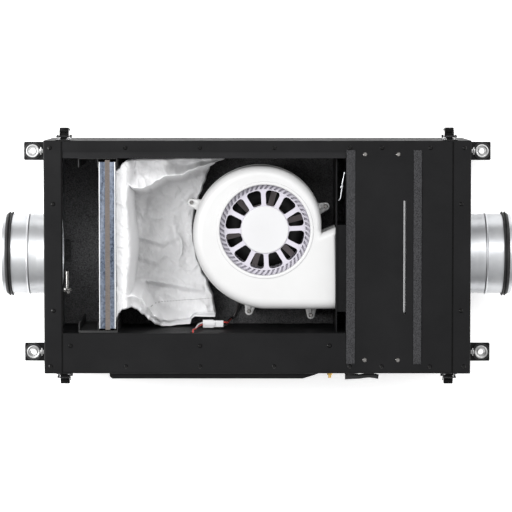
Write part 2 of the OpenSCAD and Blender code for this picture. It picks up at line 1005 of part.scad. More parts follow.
module element_plate() {
    color(zinc)
        difference() {
            block([heater_x0 + sheet, element_plate_y, floor_z + sheet],
                  [heater_x1 - sheet, element_plate_y + element_plate_t, shield_z]);
            for (x = element_x, z = element_z, side = [-1, 1]) {
                translate([x + side * element_bend / 2, 0, z])
                    rod_y(element_plate_y - eps, element_plate_y + element_plate_t + eps, element_r);
            }
        }
}

module heater_thermostats() {
    y1 = element_plate_y;
    color(black)
        for (x = [177, 205]) {
            translate([x, 0, 75]) {
                rod_y(y1 - 4, y1, 9);
                rod_y(y1 - 9, y1 - 4, 6);
            }
        }
}

module heat_shield() {
    color(zinc)
        block([heater_x0 + sheet, element_plate_y, shield_z],
              [heater_x1 - sheet, hw - lip - sheet, shield_z + shield_t]);
}

module heater_lid() {
    color(casing_colour)
        difference() {
            block([lid_x0, -hw + lip, face], [lid_x1, hw - lip, top]);
            block([lid_slot_x - lid_slot_w / 2, -lid_slot_l / 2, face - eps],
                  [lid_slot_x + lid_slot_w / 2, lid_slot_l / 2, top + eps]);
            lid_screw_holes();
        }
}

module lid_screws() {
    color(zinc)
        for (p = lid_screw) {
            both_sides() translate([p[0], p[1], top]) pan_screw(lid_head_r, lid_screw_r, screw_l);
        }
}

module foam_strips() {
    color([0.22, 0.22, 0.23])
        for (x = foam_x) {
            block([x[0], -hw + lip, face], [x[1], hw - lip, top + foam_proud]);
            block([x[0], -hw + lip - foam_over, top], [x[1], hw - lip + foam_over, top + foam_proud]);
        }
}

module outlet_panel() {
    color(casing_colour)
        block([outlet_panel_x0, -hw + lip, face], [outlet_panel_x1, hw - lip, top]);
}

module wiring_tray() {
    color(casing_colour)
        difference() {
            union() {
                block([-inner_x, channel_y - channel_t, floor_z], [channel_end, channel_y, face]);
                block([-inner_x, channel_y - channel_flange, face - channel_t],
                      [channel_end, channel_y - channel_t, face]);
                block([channel_end - channel_t, -hw + sheet, floor_z],
                      [channel_end, channel_y - channel_t, face]);
            }
            screw_holes(screw_hole_r);
            translate([lead_hole_x, 0, lead_hole_z])
                rod_y(channel_y - channel_t - eps, channel_y + eps, 5);
        }
}

module wiring_cover() {
    color(casing_colour)
        difference() {
            block([-hl + end_flange, -hw + lip, face], [channel_end, channel_y, top]);
            screw_holes(screw_hole_r);
        }
}

module temperature_probe() {
    color(steel)
        translate([probe_x, 0, probe_z]) {
            rod_y(probe_y0, probe_y0 + probe_flange_t, probe_flange_r);
            rod_y(probe_y0, probe_y1, probe_r);
            rod_y(probe_y0 - probe_bracket_t - 4, probe_y0 - probe_bracket_t, probe_flange_r - 1);
        }
    color(black)
        block([-inner_x, probe_y0 - probe_bracket_t, probe_z - 10],
              [probe_x + probe_flange_r + 1, probe_y0, probe_z + 10]);
}

module controller_board() {
    color([0.05, 0.25, 0.12]) {
        block([board_x0, board_y - board_t, board_z0], [board_x1, board_y, board_z1]);
        for (x = [board_x0 + 6, board_x1 - 6], z = [board_z0 + 6, board_z1 - 6]) {
            translate([x, 0, z]) rod_y(board_y, channel_y - channel_t, post_in);
        }
        y1 = board_y - board_t;
        block([board_x0 + 12, y1 - 24, board_z0 + 8], [board_x0 + 52, y1, board_z0 + 42]);
        for (i = [0 : 2]) {
            x = board_x0 + 64 + i * 24;
            block([x, y1 - 15, board_z0 + 14], [x + 18, y1, board_z0 + 30]);
        }
        for (i = [0 : 3]) {
            translate([board_x0 + 18 + i * 16, 0, board_z1 - 34]) rod_y(y1 - 20, y1, 5);
        }
        block([board_x0 + 14, y1 - 12, board_z1 - 14], [board_x1 - 16, y1, board_z1 - 2]);
    }
}

module terminal_block() {
    y0 = -hw + sheet;
    color([0.55, 0.56, 0.58])
        difference() {
            block([block_x0, y0, 88], [block_x0 + block_ports * block_pitch, y0 + 26, 112]);
            for (i = [0 : block_ports - 1]) {
                translate([block_x0 + (i + 0.5) * block_pitch, y0 + 16, 104]) cylinder(r = 2.5, h = 10);
                translate([block_x0 + (i + 0.5) * block_pitch, y0 + 8, 96]) rotate([0, 0, 0])
                    cylinder(r = 1.8, h = 20);
            }
        }
}

module terminal_cover() {
    color(black)
        translate([0, 0, 96])
            linear_extrude(78)
                polygon([[-228, -hw], [98, -hw], [88, -hw - 4], [70, -hw - 9.5], [-224, -hw - 9.5], [-228, -hw - 6]]);
}

module earth_stud() {
    color([0.72, 0.55, 0.25])
        translate([stud_x, 0, stud_z]) {
            rod_y(-hw - 9, -hw + sheet + 4, 2.5);
            translate([0, -hw, 0]) rotate([90, 0, 0]) cylinder(r = 5, h = 1);
            translate([0, -hw - 1, 0]) rotate([90, 0, 0]) cylinder(r = 4.2, h = 3.5, $fn = 6);
        }
}

module power_cable() {
    bend_y = -hw - 5.5;
    color(rubber)
        translate([0, 0, gland_z]) {
            translate([gland_x, 0, 0]) {
                rod_y(-hw - 5, -hw + sheet + 4, 6);
                rod_y(-hw - 5, -hw, 8);
            }
            block([gland_x - 8, -hw - 11, -6], [gland_x + 12, -hw - 5, 6]);
            translate([0, bend_y - 0.5, 0]) rod_x(gland_x, cable_end, cable_r);
        }
}

casing_tub();
end_panel_inlet();
end_panel_outlet();
back_lining();
end_linings();
side_linings();
inner_ledge();
casing_screws();
mounting_brackets();
bracket_grommets();
bracket_bushes();
rivets();
inlet_spigot();
outlet_spigot();
spigot_seals();
latch_bases();
temperature_probe();
at_latch(0) latch_lever();  // latch_lever_1
at_latch(1) latch_lever();  // latch_lever_2
at_latch(2) latch_lever();  // latch_lever_3
at_latch(3) latch_lever();  // latch_lever_4
at_latch(0) latch_bail();  // latch_bail_1
at_latch(1) latch_bail();  // latch_bail_2
at_latch(2) latch_bail();  // latch_bail_3
at_latch(3) latch_bail();  // latch_bail_4
filter_guides();
filter_frame();
filter_felt();
filter_bag();
scroll_front();
scroll_back();
fan_posts();
fan_screws();
motor_base();
motor_stator();
motor_bearings();
motor_shaft();
motor_rotor();
impeller();
hub_cap();
fan_lead();
fan_plug();
partition();
sensor_clip();
heater_box();
heater_elements();
element_plate();
heater_thermostats();
heat_shield();
heater_lid();
lid_screws();
foam_strips();
outlet_panel();
wiring_tray();
wiring_cover();
controller_board();
terminal_block();
terminal_cover();
earth_stud();
power_cable();
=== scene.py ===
"""Looks of a ducted supply-air unit lying on its back face with its service side open."""
import json
import math

import bmesh
import bpy
from mathutils import Matrix, Vector, noise


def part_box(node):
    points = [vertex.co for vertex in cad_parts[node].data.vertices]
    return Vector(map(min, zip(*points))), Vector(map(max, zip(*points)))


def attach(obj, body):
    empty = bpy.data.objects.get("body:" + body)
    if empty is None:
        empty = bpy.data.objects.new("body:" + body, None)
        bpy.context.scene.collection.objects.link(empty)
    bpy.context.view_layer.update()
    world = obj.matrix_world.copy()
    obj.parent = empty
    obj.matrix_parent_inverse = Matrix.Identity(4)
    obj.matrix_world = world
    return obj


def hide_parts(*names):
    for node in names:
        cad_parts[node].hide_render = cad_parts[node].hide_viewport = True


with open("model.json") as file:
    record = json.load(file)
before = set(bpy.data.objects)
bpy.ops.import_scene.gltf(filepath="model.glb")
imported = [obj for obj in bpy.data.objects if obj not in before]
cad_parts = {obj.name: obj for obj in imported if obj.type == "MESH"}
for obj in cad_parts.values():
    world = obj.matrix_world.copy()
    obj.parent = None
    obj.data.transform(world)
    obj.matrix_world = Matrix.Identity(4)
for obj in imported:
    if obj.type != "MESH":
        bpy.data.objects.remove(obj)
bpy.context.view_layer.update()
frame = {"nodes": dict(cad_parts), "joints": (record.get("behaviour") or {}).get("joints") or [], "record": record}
nodes = frame["nodes"]
mounts = {m["name"]: m for m in frame["record"]["mounts"]}

MM = 0.001

# Places read from the CAD model
TUB_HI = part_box("casing_tub")[1]
TOP = TUB_HI.z
HALF_W = TUB_HI.y
FRAME_LO, FRAME_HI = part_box("filter_frame")
FAN = next(Vector(j["pos_m"]) for j in frame["joints"] if j["name"] == "fan_spin")
SCROLL_LO, SCROLL_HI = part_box("scroll_back")[0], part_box("scroll_front")[1]
SPLIT_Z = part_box("scroll_back")[1].z
DUCT_Z = mounts["inlet_duct"]["pos_m"][2]
SPIGOT_R = mounts["inlet_duct"]["dims"]["r_mm"] * MM
RODS = mounts["hanging_rods"]["dims"]
# Centres of the four rod holes, in millimetres
ROD_HOLES = [(sx * RODS["spacing_x_mm"] / 2, sy * RODS["spacing_y_mm"] / 2)
             for sx in (-1, 1) for sy in (-1, 1)]
LATCHES = range(1, 5)

# Where the painted shade on the bag's low panel fades out towards its tail
SHADE_FADE_X = (-0.165, -0.11)


# ---------------------------------------------------------------- materials


class Nodes:
    """A material's node tree, with short calls for the nodes used here."""

    def __init__(self, name):
        self.material = bpy.data.materials.new(name)
        self.material.use_nodes = True
        self.tree = self.material.node_tree
        self.bsdf = self.tree.nodes["Principled BSDF"]
        self.place = self.tree.nodes.new("ShaderNodeTexCoord").outputs["Object"]

    def link(self, a, b):
        self.tree.links.new(a, b)

    def put(self, value, socket):
        """Links a value that comes from a node, or sets a plain one."""
        if isinstance(value, bpy.types.NodeSocket):
            self.link(value, socket)
        else:
            socket.default_value = value

    def fill(self, node, **inputs):
        """Puts a value into each named input; an underscore stands for a space."""
        for name, value in inputs.items():
            self.put(value, node.inputs[name.replace("_", " ")])
        return node

    def node(self, kind, **inputs):
        return self.fill(self.tree.nodes.new("ShaderNode" + kind), **inputs)

    def scaled(self, *factors):
        """Object coordinates stretched by a factor along each axis."""
        return self.node("Mapping", Scale=factors, Vector=self.place).outputs["Vector"]

    def axis(self, letter):
        """The object coordinate along one axis."""
        return self.node("SeparateXYZ", Vector=self.place).outputs[letter]

    def noise(self, scale, detail=4.0, rough=0.55, place=None):
        place = place or self.place
        node = self.node("TexNoise", Scale=scale, Detail=detail, Roughness=rough, Vector=place)
        return node.outputs["Fac"]

    def cells(self, scale, output="Distance"):
        return self.node("TexVoronoi", Scale=scale, Vector=self.place).outputs[output]

    def spread(self, value, low, high, start=0.3, stop=0.7):
        """Maps a 0 to 1 value onto low..high, with everything outside start..stop held."""
        node = self.node("MapRange", Value=value, From_Min=start, From_Max=stop, To_Min=low, To_Max=high)
        return node.outputs["Result"]

    def blend(self, factor, a, b):
        """Colour a where the factor is 0, colour b where it is 1."""
        node = self.tree.nodes.new("ShaderNodeMix")
        node.data_type = "RGBA"
        for name, colour in (("A", a), ("B", b)):
            plain = not isinstance(colour, bpy.types.NodeSocket)
            self.put((*colour, 1) if plain else colour, node.inputs[name])
        self.link(factor, node.inputs["Factor"])
        return node.outputs["Result"]

    def calc(self, operation, a, b=0.0):
        """Arithmetic on a linked value and a second one, linked or plain."""
        node = self.tree.nodes.new("ShaderNodeMath")
        node.operation = operation
        self.put(a, node.inputs[0])
        self.put(b, node.inputs[1])
        return node.outputs["Value"]

    def bump(self, height, depth, strength=1.0, under=None):
        node = self.node("Bump", Distance=depth, Strength=strength, Height=height)
        if under is not None:
            self.link(under, node.inputs["Normal"])
        return node.outputs["Normal"]

    def finish(self, colour, rough, normal=None, **values):
        """Connects colour, roughness and normal, sets plain inputs, returns the material."""
        self.fill(self.bsdf, Base_Color=colour, Roughness=rough, **values)
        if normal is not None:
            self.link(normal, self.bsdf.inputs["Normal"])
        return self.material


def shade(colour, factor):
    """A colour made darker or lighter by a factor."""
    return [min(1, c * factor) for c in colour]


def coated_steel(name, dark, light, grain, depth, rough=(0.42, 0.58)):
    """Textured powder coat: fine orange-peel grain, faint wear clouds, small rough changes."""
    n = Nodes(name)
    clouds = n.noise(9, 5, 0.6)
    fine = n.noise(grain, 3, 0.7)
    colour = n.blend(n.spread(clouds, 0, 1), dark, light)
    speck = n.blend(n.spread(fine, 0, 0.35, 0.45, 0.7), colour, shade(light, 1.7))
    normal = n.bump(fine, depth, 0.6, n.bump(n.noise(60, 2), 0.0004, 0.25))
    return n.finish(speck, n.spread(n.noise(25, 4), *rough), normal, Specular_IOR_Level=0.12)


def grain_board(name, dark, light, grain, depth):
    """Faced insulation board: dense pebble grain that catches a little light."""
    n = Nodes(name)
    pebble = n.cells(grain)
    fine = n.noise(grain * 1.6, 4, 0.75)
    colour = n.blend(n.spread(fine, 0, 1, 0.35, 0.68), dark, light)
    normal = n.bump(pebble, depth, 0.7, n.bump(fine, depth, 0.7))
    return n.finish(colour, n.spread(n.noise(30, 3), 0.62, 0.8), normal, Specular_IOR_Level=0.4)


def foam(name, dark, light):
    """Open-cell foam: round pores of two sizes."""
    n = Nodes(name)
    pores = n.cells(620)
    large = n.cells(210)
    colour = n.blend(n.spread(pores, 0, 1, 0.1, 0.55), dark, light)
    normal = n.bump(pores, 0.0012, 0.9, n.bump(large, 0.0008, 0.6))
    return n.finish(colour, n.spread(large, 0.85, 0.98, 0, 1), normal, Specular_IOR_Level=0.2)


def plastic(name, dark, light, rough, grain=500, depth=0.00006, **values):
    """Moulded plastic: faint flow clouds, fine skin texture, changing gloss."""
    n = Nodes(name)
    clouds = n.noise(14, 4, 0.5)
    colour = n.blend(n.spread(clouds, 0, 1), dark, light)
    normal = n.bump(n.noise(grain, 3, 0.6), depth, 0.5, n.bump(n.noise(22, 2), 0.0006, 0.15))
    return n.finish(colour, n.spread(n.noise(40, 4), *rough), normal, **values)


def rubber(name, dark, light):
    """Matt rubber with a dusty bloom."""
    n = Nodes(name)
    colour = n.blend(n.spread(n.noise(70, 5), 0, 1), dark, light)
    normal = n.bump(n.noise(900, 3), 0.00008, 0.6)
    return n.finish(colour, n.spread(n.noise(45, 4), 0.5, 0.72), normal, Specular_IOR_Level=0.35)


def galvanised(name, stretch, dark, light, rough):
    """Zinc-coated sheet: crystal spangle under drawn lines that run along one axis."""
    n = Nodes(name)
    spangle = n.cells(150, "Color")
    drawn = n.noise(60, 4, 0.6, n.scaled(*stretch))
    clouds = n.noise(18, 4)
    base = n.blend(n.spread(drawn, 0, 1, 0.35, 0.65), dark, light)
    colour = n.blend(n.spread(spangle, 0, 0.22, 0, 1), base, shade(light, 0.8))
    stain = n.blend(n.spread(clouds, 0, 0.25, 0.45, 0.75), colour, shade(dark, 0.55))
    normal = n.bump(drawn, 0.00012, 0.35, n.bump(n.noise(300, 2), 0.00005, 0.3))
    return n.finish(stain, n.spread(drawn, *rough), normal, Metallic=1.0)


def metal(name, dark, light, rough, stretch=(1, 1, 14)):
    """Bright drawn or rolled metal with faint lines and smudges."""
    n = Nodes(name)
    lines = n.noise(220, 3, 0.6, n.scaled(*stretch))
    colour = n.blend(n.spread(n.noise(60, 4), 0, 1), dark, light)
    normal = n.bump(lines, 0.00004, 0.4)
    return n.finish(colour, n.spread(lines, *rough), normal, Metallic=1.0)


def spun_zinc(name):
    """Spun galvanised tube: fine rings round the axis, soft smudges, faint spangle."""
    n = Nodes(name)
    rings = n.noise(90, 3, 0.6, n.scaled(9, 0.4, 0.4))
    smudge = n.noise(16, 5, 0.6)
    spangle = n.cells(190, "Color")
    base = n.blend(n.spread(smudge, 0, 1), (0.50, 0.51, 0.53), (0.64, 0.65, 0.66))
    colour = n.blend(n.spread(spangle, 0, 0.08, 0, 1), base, (0.6, 0.62, 0.65))
    lined = n.blend(n.spread(rings, 0, 0.12, 0.45, 0.7), colour, (0.55, 0.57, 0.6))
    normal = n.bump(rings, 0.00006, 0.35, n.bump(n.noise(9, 2), 0.0008, 0.2))
    return n.finish(lined, n.spread(smudge, 0.34, 0.46), normal, Metallic=0.85)


def frame_strip(name):
    """Galvanised filter frame: blue-grey hatched faces, with painted highlights along the folded edges."""
    n = Nodes(name)
    hatch = n.noise(230, 4, 0.7, n.scaled(1.2, 1, 0.3))
    streak = n.noise(45, 4, 0.6, n.scaled(3, 0.25, 1))
    dark = n.blend(n.spread(hatch, 0, 1, 0.35, 0.68), (0.02, 0.028, 0.045), (0.15, 0.18, 0.24))
    face = n.blend(n.spread(streak, 0, 0.5, 0.4, 0.7), dark, (0.30, 0.33, 0.39))
    x = n.axis("X")
    # Painted highlight: a light line along each folded edge
    fold_highlights = [n.spread(n.calc("ABSOLUTE", n.calc("SUBTRACT", x, edge)), 1, 0, 0.9 * MM, 1.5 * MM)
             for edge in (FRAME_LO.x, FRAME_HI.x)]
    colour = n.blend(n.calc("MAXIMUM", *fold_highlights), face, (0.78, 0.79, 0.8))
    return n.finish(colour, n.spread(streak, 0.3, 0.48), n.bump(hatch, 0.0001, 0.5), Metallic=0.85)


def fibre_cloth(name, dark, light, fibre, depth, translucent=0.0, sunken=None):
    """Non-woven cloth: crossed fibres, thick and thin patches; painted shade makes it greyer, in random blotches,
    where it lies low.
    """
    n = Nodes(name)
    along = n.noise(fibre, 5, 0.7, n.scaled(1, 4, 2))
    across = n.noise(fibre, 5, 0.7, n.scaled(4, 1, 2))
    patches = n.noise(35, 5, 0.65)
    mixed = n.blend(n.spread(along, 0, 0.5, 0.35, 0.7), light, dark)
    # Painted shade: darker in random blotches where the cloth lies low, fading out towards the bag's tail
    if sunken:
        low_shade = n.spread(n.axis("Z"), 1, 0, *sunken)
        blotch = n.noise(26, 5, 0.62, n.scaled(1, 0.6, 1))
        blotched_shade = n.blend(n.spread(blotch, 0, 1, 0.4, 0.6), shade(light, 0.6), shade(light, 0.84))
        tail = n.spread(n.axis("X"), 0, 1, *SHADE_FADE_X)
        mixed = n.blend(low_shade, mixed, n.blend(tail, blotched_shade, shade(light, 0.92)))
    colour = n.blend(n.spread(patches, 0, 0.3, 0.4, 0.75), mixed, dark)
    dimples = n.cells(420)
    normal = n.bump(across, depth, 0.6, n.bump(dimples, depth, 0.3, n.bump(along, depth, 0.6)))
    material = n.finish(colour, n.spread(patches, 0.82, 0.95), normal, Specular_IOR_Level=0.15,
                        Sheen_Weight=0.25, Sheen_Roughness=0.6)
    if translucent:
        glow = n.node("BsdfTranslucent", Color=(*light, 1))
        mix = n.node("MixShader", Fac=translucent)
        n.link(n.bsdf.outputs["BSDF"], mix.inputs[1])
        n.link(glow.outputs["BSDF"], mix.inputs[2])
        n.link(mix.outputs["Shader"], n.tree.nodes["Material Output"].inputs["Surface"])
    return material


CHARCOAL = coated_steel("charcoal_coat", (0.004, 0.004, 0.0045), (0.008, 0.008, 0.0086), 1500, 0.0002,
                        (0.5, 0.62))
LEDGE = coated_steel("ledge_coat", (0.007, 0.007, 0.0075), (0.012, 0.012, 0.013), 1500, 0.0002)
BLACK_COAT = coated_steel("black_coat", (0.004, 0.004, 0.0045), (0.008, 0.008, 0.0085), 1700, 0.0001,
                          (0.3, 0.46))
BOARD = grain_board("lining_board", (0.008, 0.008, 0.009), (0.105, 0.105, 0.108), 330, 0.0011)
FOAM = foam("foam", (0.004, 0.004, 0.0045), (0.05, 0.05, 0.053))
BLACK_PLASTIC = plastic("black_plastic", (0.008, 0.008, 0.008), (0.014, 0.014, 0.015), (0.35, 0.55))
WHITE_PLASTIC = plastic("white_plastic", (0.58, 0.58, 0.58), (0.62, 0.62, 0.62), (0.3, 0.42),
                        Specular_IOR_Level=0.45, Coat_Weight=0.15, Coat_Roughness=0.2)
WHEEL_PLASTIC = plastic("wheel_plastic", (0.48, 0.46, 0.52), (0.55, 0.53, 0.59), (0.32, 0.45))
CAP_PLASTIC = plastic("cap_plastic", (0.57, 0.57, 0.58), (0.61, 0.61, 0.62), (0.3, 0.4))
BROWN_PLASTIC = plastic("strut_plastic", (0.40, 0.35, 0.36), (0.52, 0.46, 0.47), (0.45, 0.6))
GREY_PLASTIC = plastic("grey_plastic", (0.22, 0.22, 0.23), (0.3, 0.3, 0.31), (0.4, 0.55))
RUBBER = rubber("rubber", (0.008, 0.008, 0.008), (0.02, 0.02, 0.021))
# Near-black: painted shade for the groove at each end seam
SEAM_SHADE = foam("seam_shade", (0.0005, 0.0005, 0.0005), (0.0015, 0.0015, 0.0015))
ZINC_X = spun_zinc("galvanised_duct")
ZINC_Y = frame_strip("galvanised_strip")
ZINC_BOX = galvanised("galvanised_box", (1, 10, 1), (0.4, 0.42, 0.45), (0.66, 0.68, 0.7), (0.28, 0.45))
BRIGHT = metal("bright_steel", (0.5, 0.5, 0.52), (0.72, 0.72, 0.74), (0.16, 0.3))
SHIELD = metal("bright_shield", (0.75, 0.75, 0.76), (0.9, 0.9, 0.91), (0.12, 0.25), (1, 12, 1))
WASHER = metal("zinc_washer", (0.38, 0.38, 0.38), (0.50, 0.50, 0.50), (0.28, 0.42), (1, 1, 1))
SCREW_BLACK = plastic("black_screw", (0.001, 0.001, 0.001), (0.002, 0.002, 0.002), (0.1, 0.2),
                      Specular_IOR_Level=0.35)
LATCH_BLACK = plastic("latch_black", (0.001, 0.001, 0.001), (0.003, 0.003, 0.003), (0.2, 0.35),
                      Specular_IOR_Level=0.14)
SCREW_ZINC = metal("zinc_screw", (0.24, 0.23, 0.22), (0.4, 0.39, 0.38), (0.2, 0.34), (1, 1, 1))
BRASS = metal("brass", (0.55, 0.36, 0.1), (0.75, 0.52, 0.2), (0.2, 0.35))
COPPER = metal("copper_winding", (0.35, 0.13, 0.05), (0.6, 0.25, 0.1), (0.3, 0.5), (1, 1, 40))
FELT = fibre_cloth("felt", (0.055, 0.045, 0.04), (0.17, 0.145, 0.13), 420, 0.0008)
DARK_WIRE = metal("dark_steel", (0.012, 0.012, 0.013), (0.035, 0.035, 0.037), (0.2, 0.34))
# The last pair gives the heights in metres: painted shade below 0.12, full below 0.035
CLOTH = fibre_cloth("filter_cloth", (0.78, 0.78, 0.79), (0.92, 0.92, 0.93), 700, 0.0003, 0.15,
                    (0.035, 0.12))
THREAD = fibre_cloth("thread", (0.16, 0.16, 0.16), (0.34, 0.34, 0.34), 900, 0.0001)
CIRCUIT = plastic("circuit_board", (0.02, 0.09, 0.035), (0.03, 0.14, 0.05), (0.3, 0.5), 260, 0.0002)
RED_WIRE = plastic("red_insulation", (0.4, 0.02, 0.015), (0.5, 0.04, 0.03), (0.35, 0.5))
BLACK_WIRE = plastic("black_insulation", (0.012, 0.01, 0.01), (0.02, 0.016, 0.016), (0.35, 0.5))
WHITE_WIRE = plastic("white_insulation", (0.66, 0.62, 0.62), (0.74, 0.7, 0.7), (0.4, 0.55))

LEVERS = [f"latch_lever_{i}" for i in LATCHES]
CAD_LOOKS = {
    CHARCOAL: ["casing_tub", "end_panel_inlet", "end_panel_outlet", "wiring_tray", "wiring_cover",
               "heater_lid", "outlet_panel"],
    LEDGE: ["inner_ledge"],
    BOARD: ["back_lining", "end_linings", "side_linings"],
    SCREW_BLACK: ["casing_screws"],
    SCREW_ZINC: ["fan_screws", "lid_screws", "temperature_probe"],
    BLACK_COAT: ["mounting_brackets", "partition", "fan_posts", "terminal_cover"],
    LATCH_BLACK: ["latch_bases", *LEVERS],
    BLACK_PLASTIC: ["filter_guides", "heater_thermostats", "motor_rotor"],
    ZINC_Y: ["filter_frame"],
    ZINC_BOX: ["heater_box", "element_plate"],
    SHIELD: ["heat_shield"],
    BRIGHT: ["rivets", "motor_bearings", "motor_shaft", "heater_elements"],
    DARK_WIRE: [f"latch_bail_{i}" for i in LATCHES],
    FELT: ["filter_felt"],
    BROWN_PLASTIC: ["motor_base"],
    COPPER: ["motor_stator"],
    CIRCUIT: ["controller_board"],
    GREY_PLASTIC: ["terminal_block"],
    BRASS: ["earth_stud"],
}
# Sheet parts whose edges are eased, so that they catch light
FOLDED = ("casing_tub", "end_panel_inlet", "end_panel_outlet", "wiring_tray", "wiring_cover",
          "heater_lid", "outlet_panel", "mounting_brackets", "filter_frame", "inner_ledge",
          "latch_bases", *LEVERS)


def dress_cad_nodes():
    """Gives each CAD node its material, and eases the edges of the sheet parts."""
    for material, names in CAD_LOOKS.items():
        for name in names:
            data = nodes[name].data
            data.materials.clear()
            data.materials.append(material)
    for name in FOLDED:
        modifier(nodes[name], "BEVEL", width=0.35 * MM, segments=2, limit_method="ANGLE",
                 angle_limit=math.radians(40), harden_normals=True)


# ---------------------------------------------------------------- mesh helpers


def place_in_scene(name, data):
    obj = bpy.data.objects.new(name, data)
    bpy.context.scene.collection.objects.link(obj)
    return obj


def add(name, mesh, material, body):
    """Makes an object from a mesh, gives it a material, and rides it on a CAD body."""
    obj = place_in_scene(name, mesh)
    mesh.materials.append(material)
    for face in mesh.polygons:
        face.use_smooth = True
    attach(obj, body)
    return obj


def mesh_from(name, verts, faces):
    mesh = bpy.data.meshes.new(name)
    mesh.from_pydata([tuple(v) for v in verts], [], faces)
    mesh.validate()
    mesh.update()
    return mesh


def mesh_of(bm, name):
    """A mesh made from a bmesh, which is freed."""
    mesh = bpy.data.meshes.new(name)
    bm.to_mesh(mesh)
    bm.free()
    return mesh


def recalc(mesh):
    """Points every face outward and merges doubled corners."""
    bm = bmesh.new()
    bm.from_mesh(mesh)
    bmesh.ops.remove_doubles(bm, verts=bm.verts, dist=1e-6)
    bmesh.ops.recalc_face_normals(bm, faces=bm.faces)
    bm.to_mesh(mesh)
    bm.free()
    return mesh


def arc(cx, cy, r, a0, a1, count):
    """Points (x, y) of a circular arc, angles in degrees."""
    turns = [math.radians(a0 + (a1 - a0) * i / count) for i in range(count + 1)]
    return [(cx + r * math.cos(a), cy + r * math.sin(a)) for a in turns]


def circle(r, count, cx=0.0, cy=0.0):
    """Points (x, y) of a full circle."""
    return arc(cx, cy, r, 0, 360, count)[:-1]


def placed(points, r, h):
    """Profile points in millimetres, moved to radius r and height h."""
    return [(r + dr * MM, h + dh * MM) for dr, dh in points]


def rings_mesh(name, rings, closed=True, cap=False):
    """Skins a list of equal-length point rings; closed joins each ring's ends, cap fills both ends."""
    count = len(rings[0])
    verts = [p for ring in rings for p in ring]
    faces = []
    for r in range(len(rings) - 1):
        for i in range(count if closed else count - 1):
            j = (i + 1) % count
            a, b = r * count, (r + 1) * count
            faces.append((a + i, a + j, b + j, b + i))
    if cap:
        faces.append(tuple(reversed(range(count))))
        faces.append(tuple((len(rings) - 1) * count + i for i in range(count)))
    return recalc(mesh_from(name, verts, faces))


def lathe(name, profile, centre, axis, segments=96):
    """Turns a closed profile of (radius, height) about an axis through centre."""
    axis = Vector(axis).normalized()
    side = axis.orthogonal().normalized()
    other = axis.cross(side)
    rings = [[Vector(centre) + (side * c + other * s) * r + axis * h for r, h in profile]
             for c, s in circle(1, segments)]
    return rings_mesh(name, rings + rings[:1])


def fan_lathe(name, profile, segments):
    """Turns a closed profile about the fan's axis."""
    return lathe(name, profile, (FAN.x, FAN.y, 0), (0, 0, 1), segments)


def fan_rings(profile, count):
    """A circle about the fan's axis for each (radius, height) of a profile."""
    return [[Vector((x, y, h)) for x, y in circle(r, count, FAN.x, FAN.y)] for r, h in profile]


def smooth_path(points, steps=8):
    """Catmull-Rom curve through the points."""
    pts = [Vector(p) for p in points]
    pts = [2 * pts[0] - pts[1]] + pts + [2 * pts[-1] - pts[-2]]
    path = []
    for i in range(1, len(pts) - 2):
        p0, p1, p2, p3 = pts[i - 1:i + 3]
        for s in range(steps):
            t = s / steps
            path.append(0.5 * ((2 * p1) + (p2 - p0) * t + (2 * p0 - 5 * p1 + 4 * p2 - p3) * t * t
                               + (3 * p1 - p0 - 3 * p2 + p3) * t ** 3))
    path.append(pts[-2])
    return path


def sweep(name, points, radius, sides=14, steps=8):
    """A round cord along a smooth path, with closed ends. radius may be a function of 0..1."""
    path = smooth_path(points, steps) if steps > 1 else [Vector(p) for p in points]
    tangent = (path[1] - path[0]).normalized()
    side = tangent.orthogonal().normalized()
    rings = []
    for i, p in enumerate(path):
        ahead = path[min(i + 1, len(path) - 1)] - path[max(i - 1, 0)]
        ahead.normalize()
        side = (side - ahead * side.dot(ahead)).normalized()
        other = ahead.cross(side)
        r = radius(i / (len(path) - 1)) if callable(radius) else radius
        rings.append([p + (side * c + other * s) * r for c, s in circle(1, sides)])
    return rings_mesh(name, rings, cap=True)


def modifier(obj, kind, **values):
    mod = obj.modifiers.new(kind.lower(), kind)
    for key, value in values.items():
        setattr(mod, key, value)
    return mod


def join(meshes, name, material, body, slot, *replaced):
    """Joins meshes into one piece."""
    bm = bmesh.new()
    for mesh in meshes:
        bm.from_mesh(mesh)
    obj = add(name, mesh_of(bm, name), material, body)
    if replaced:
        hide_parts(*replaced)
    return obj


def rounded_box(lo, hi, bevel):
    """Mesh of a box with rounded edges."""
    lo, hi = Vector(lo), Vector(hi)
    bm = bmesh.new()
    bmesh.ops.create_cube(bm, size=1)
    for v in bm.verts:
        v.co = Vector((lo[k] + (hi[k] - lo[k]) * (v.co[k] + 0.5) for k in range(3)))
    bmesh.ops.bevel(bm, geom=bm.edges, offset=bevel, segments=3, profile=0.5, affect="EDGES")
    return mesh_of(bm, "box")


def filled(loops, z):
    """A bmesh with flat faces between closed outlines at height z, and the list of those faces."""
    bm = bmesh.new()
    edges = []
    for loop in loops:
        verts = [bm.verts.new((x, y, z)) for x, y in loop]
        edges += [bm.edges.new((v, verts[(i + 1) % len(verts)])) for i, v in enumerate(verts)]
    fill = bmesh.ops.triangle_fill(bm, edges=edges, use_beauty=True)
    return bm, [f for f in fill["geom"] if isinstance(f, bmesh.types.BMFace)]


def plate_with_holes(outline, holes, z0, z1, place=Matrix.Identity(4)):
    """A flat plate with straight sides from an outline and any number of hole outlines."""
    bm, faces = filled([outline, *holes], z1)
    moved = bmesh.ops.extrude_face_region(bm, geom=faces)
    verts = [v for v in moved["geom"] if isinstance(v, bmesh.types.BMVert)]
    bmesh.ops.translate(bm, verts=verts, vec=(0, 0, z0 - z1))
    bmesh.ops.transform(bm, matrix=place, verts=bm.verts)
    bmesh.ops.recalc_face_normals(bm, faces=bm.faces)
    return mesh_of(bm, "plate")


# ---------------------------------------------------------------- spigots and seals


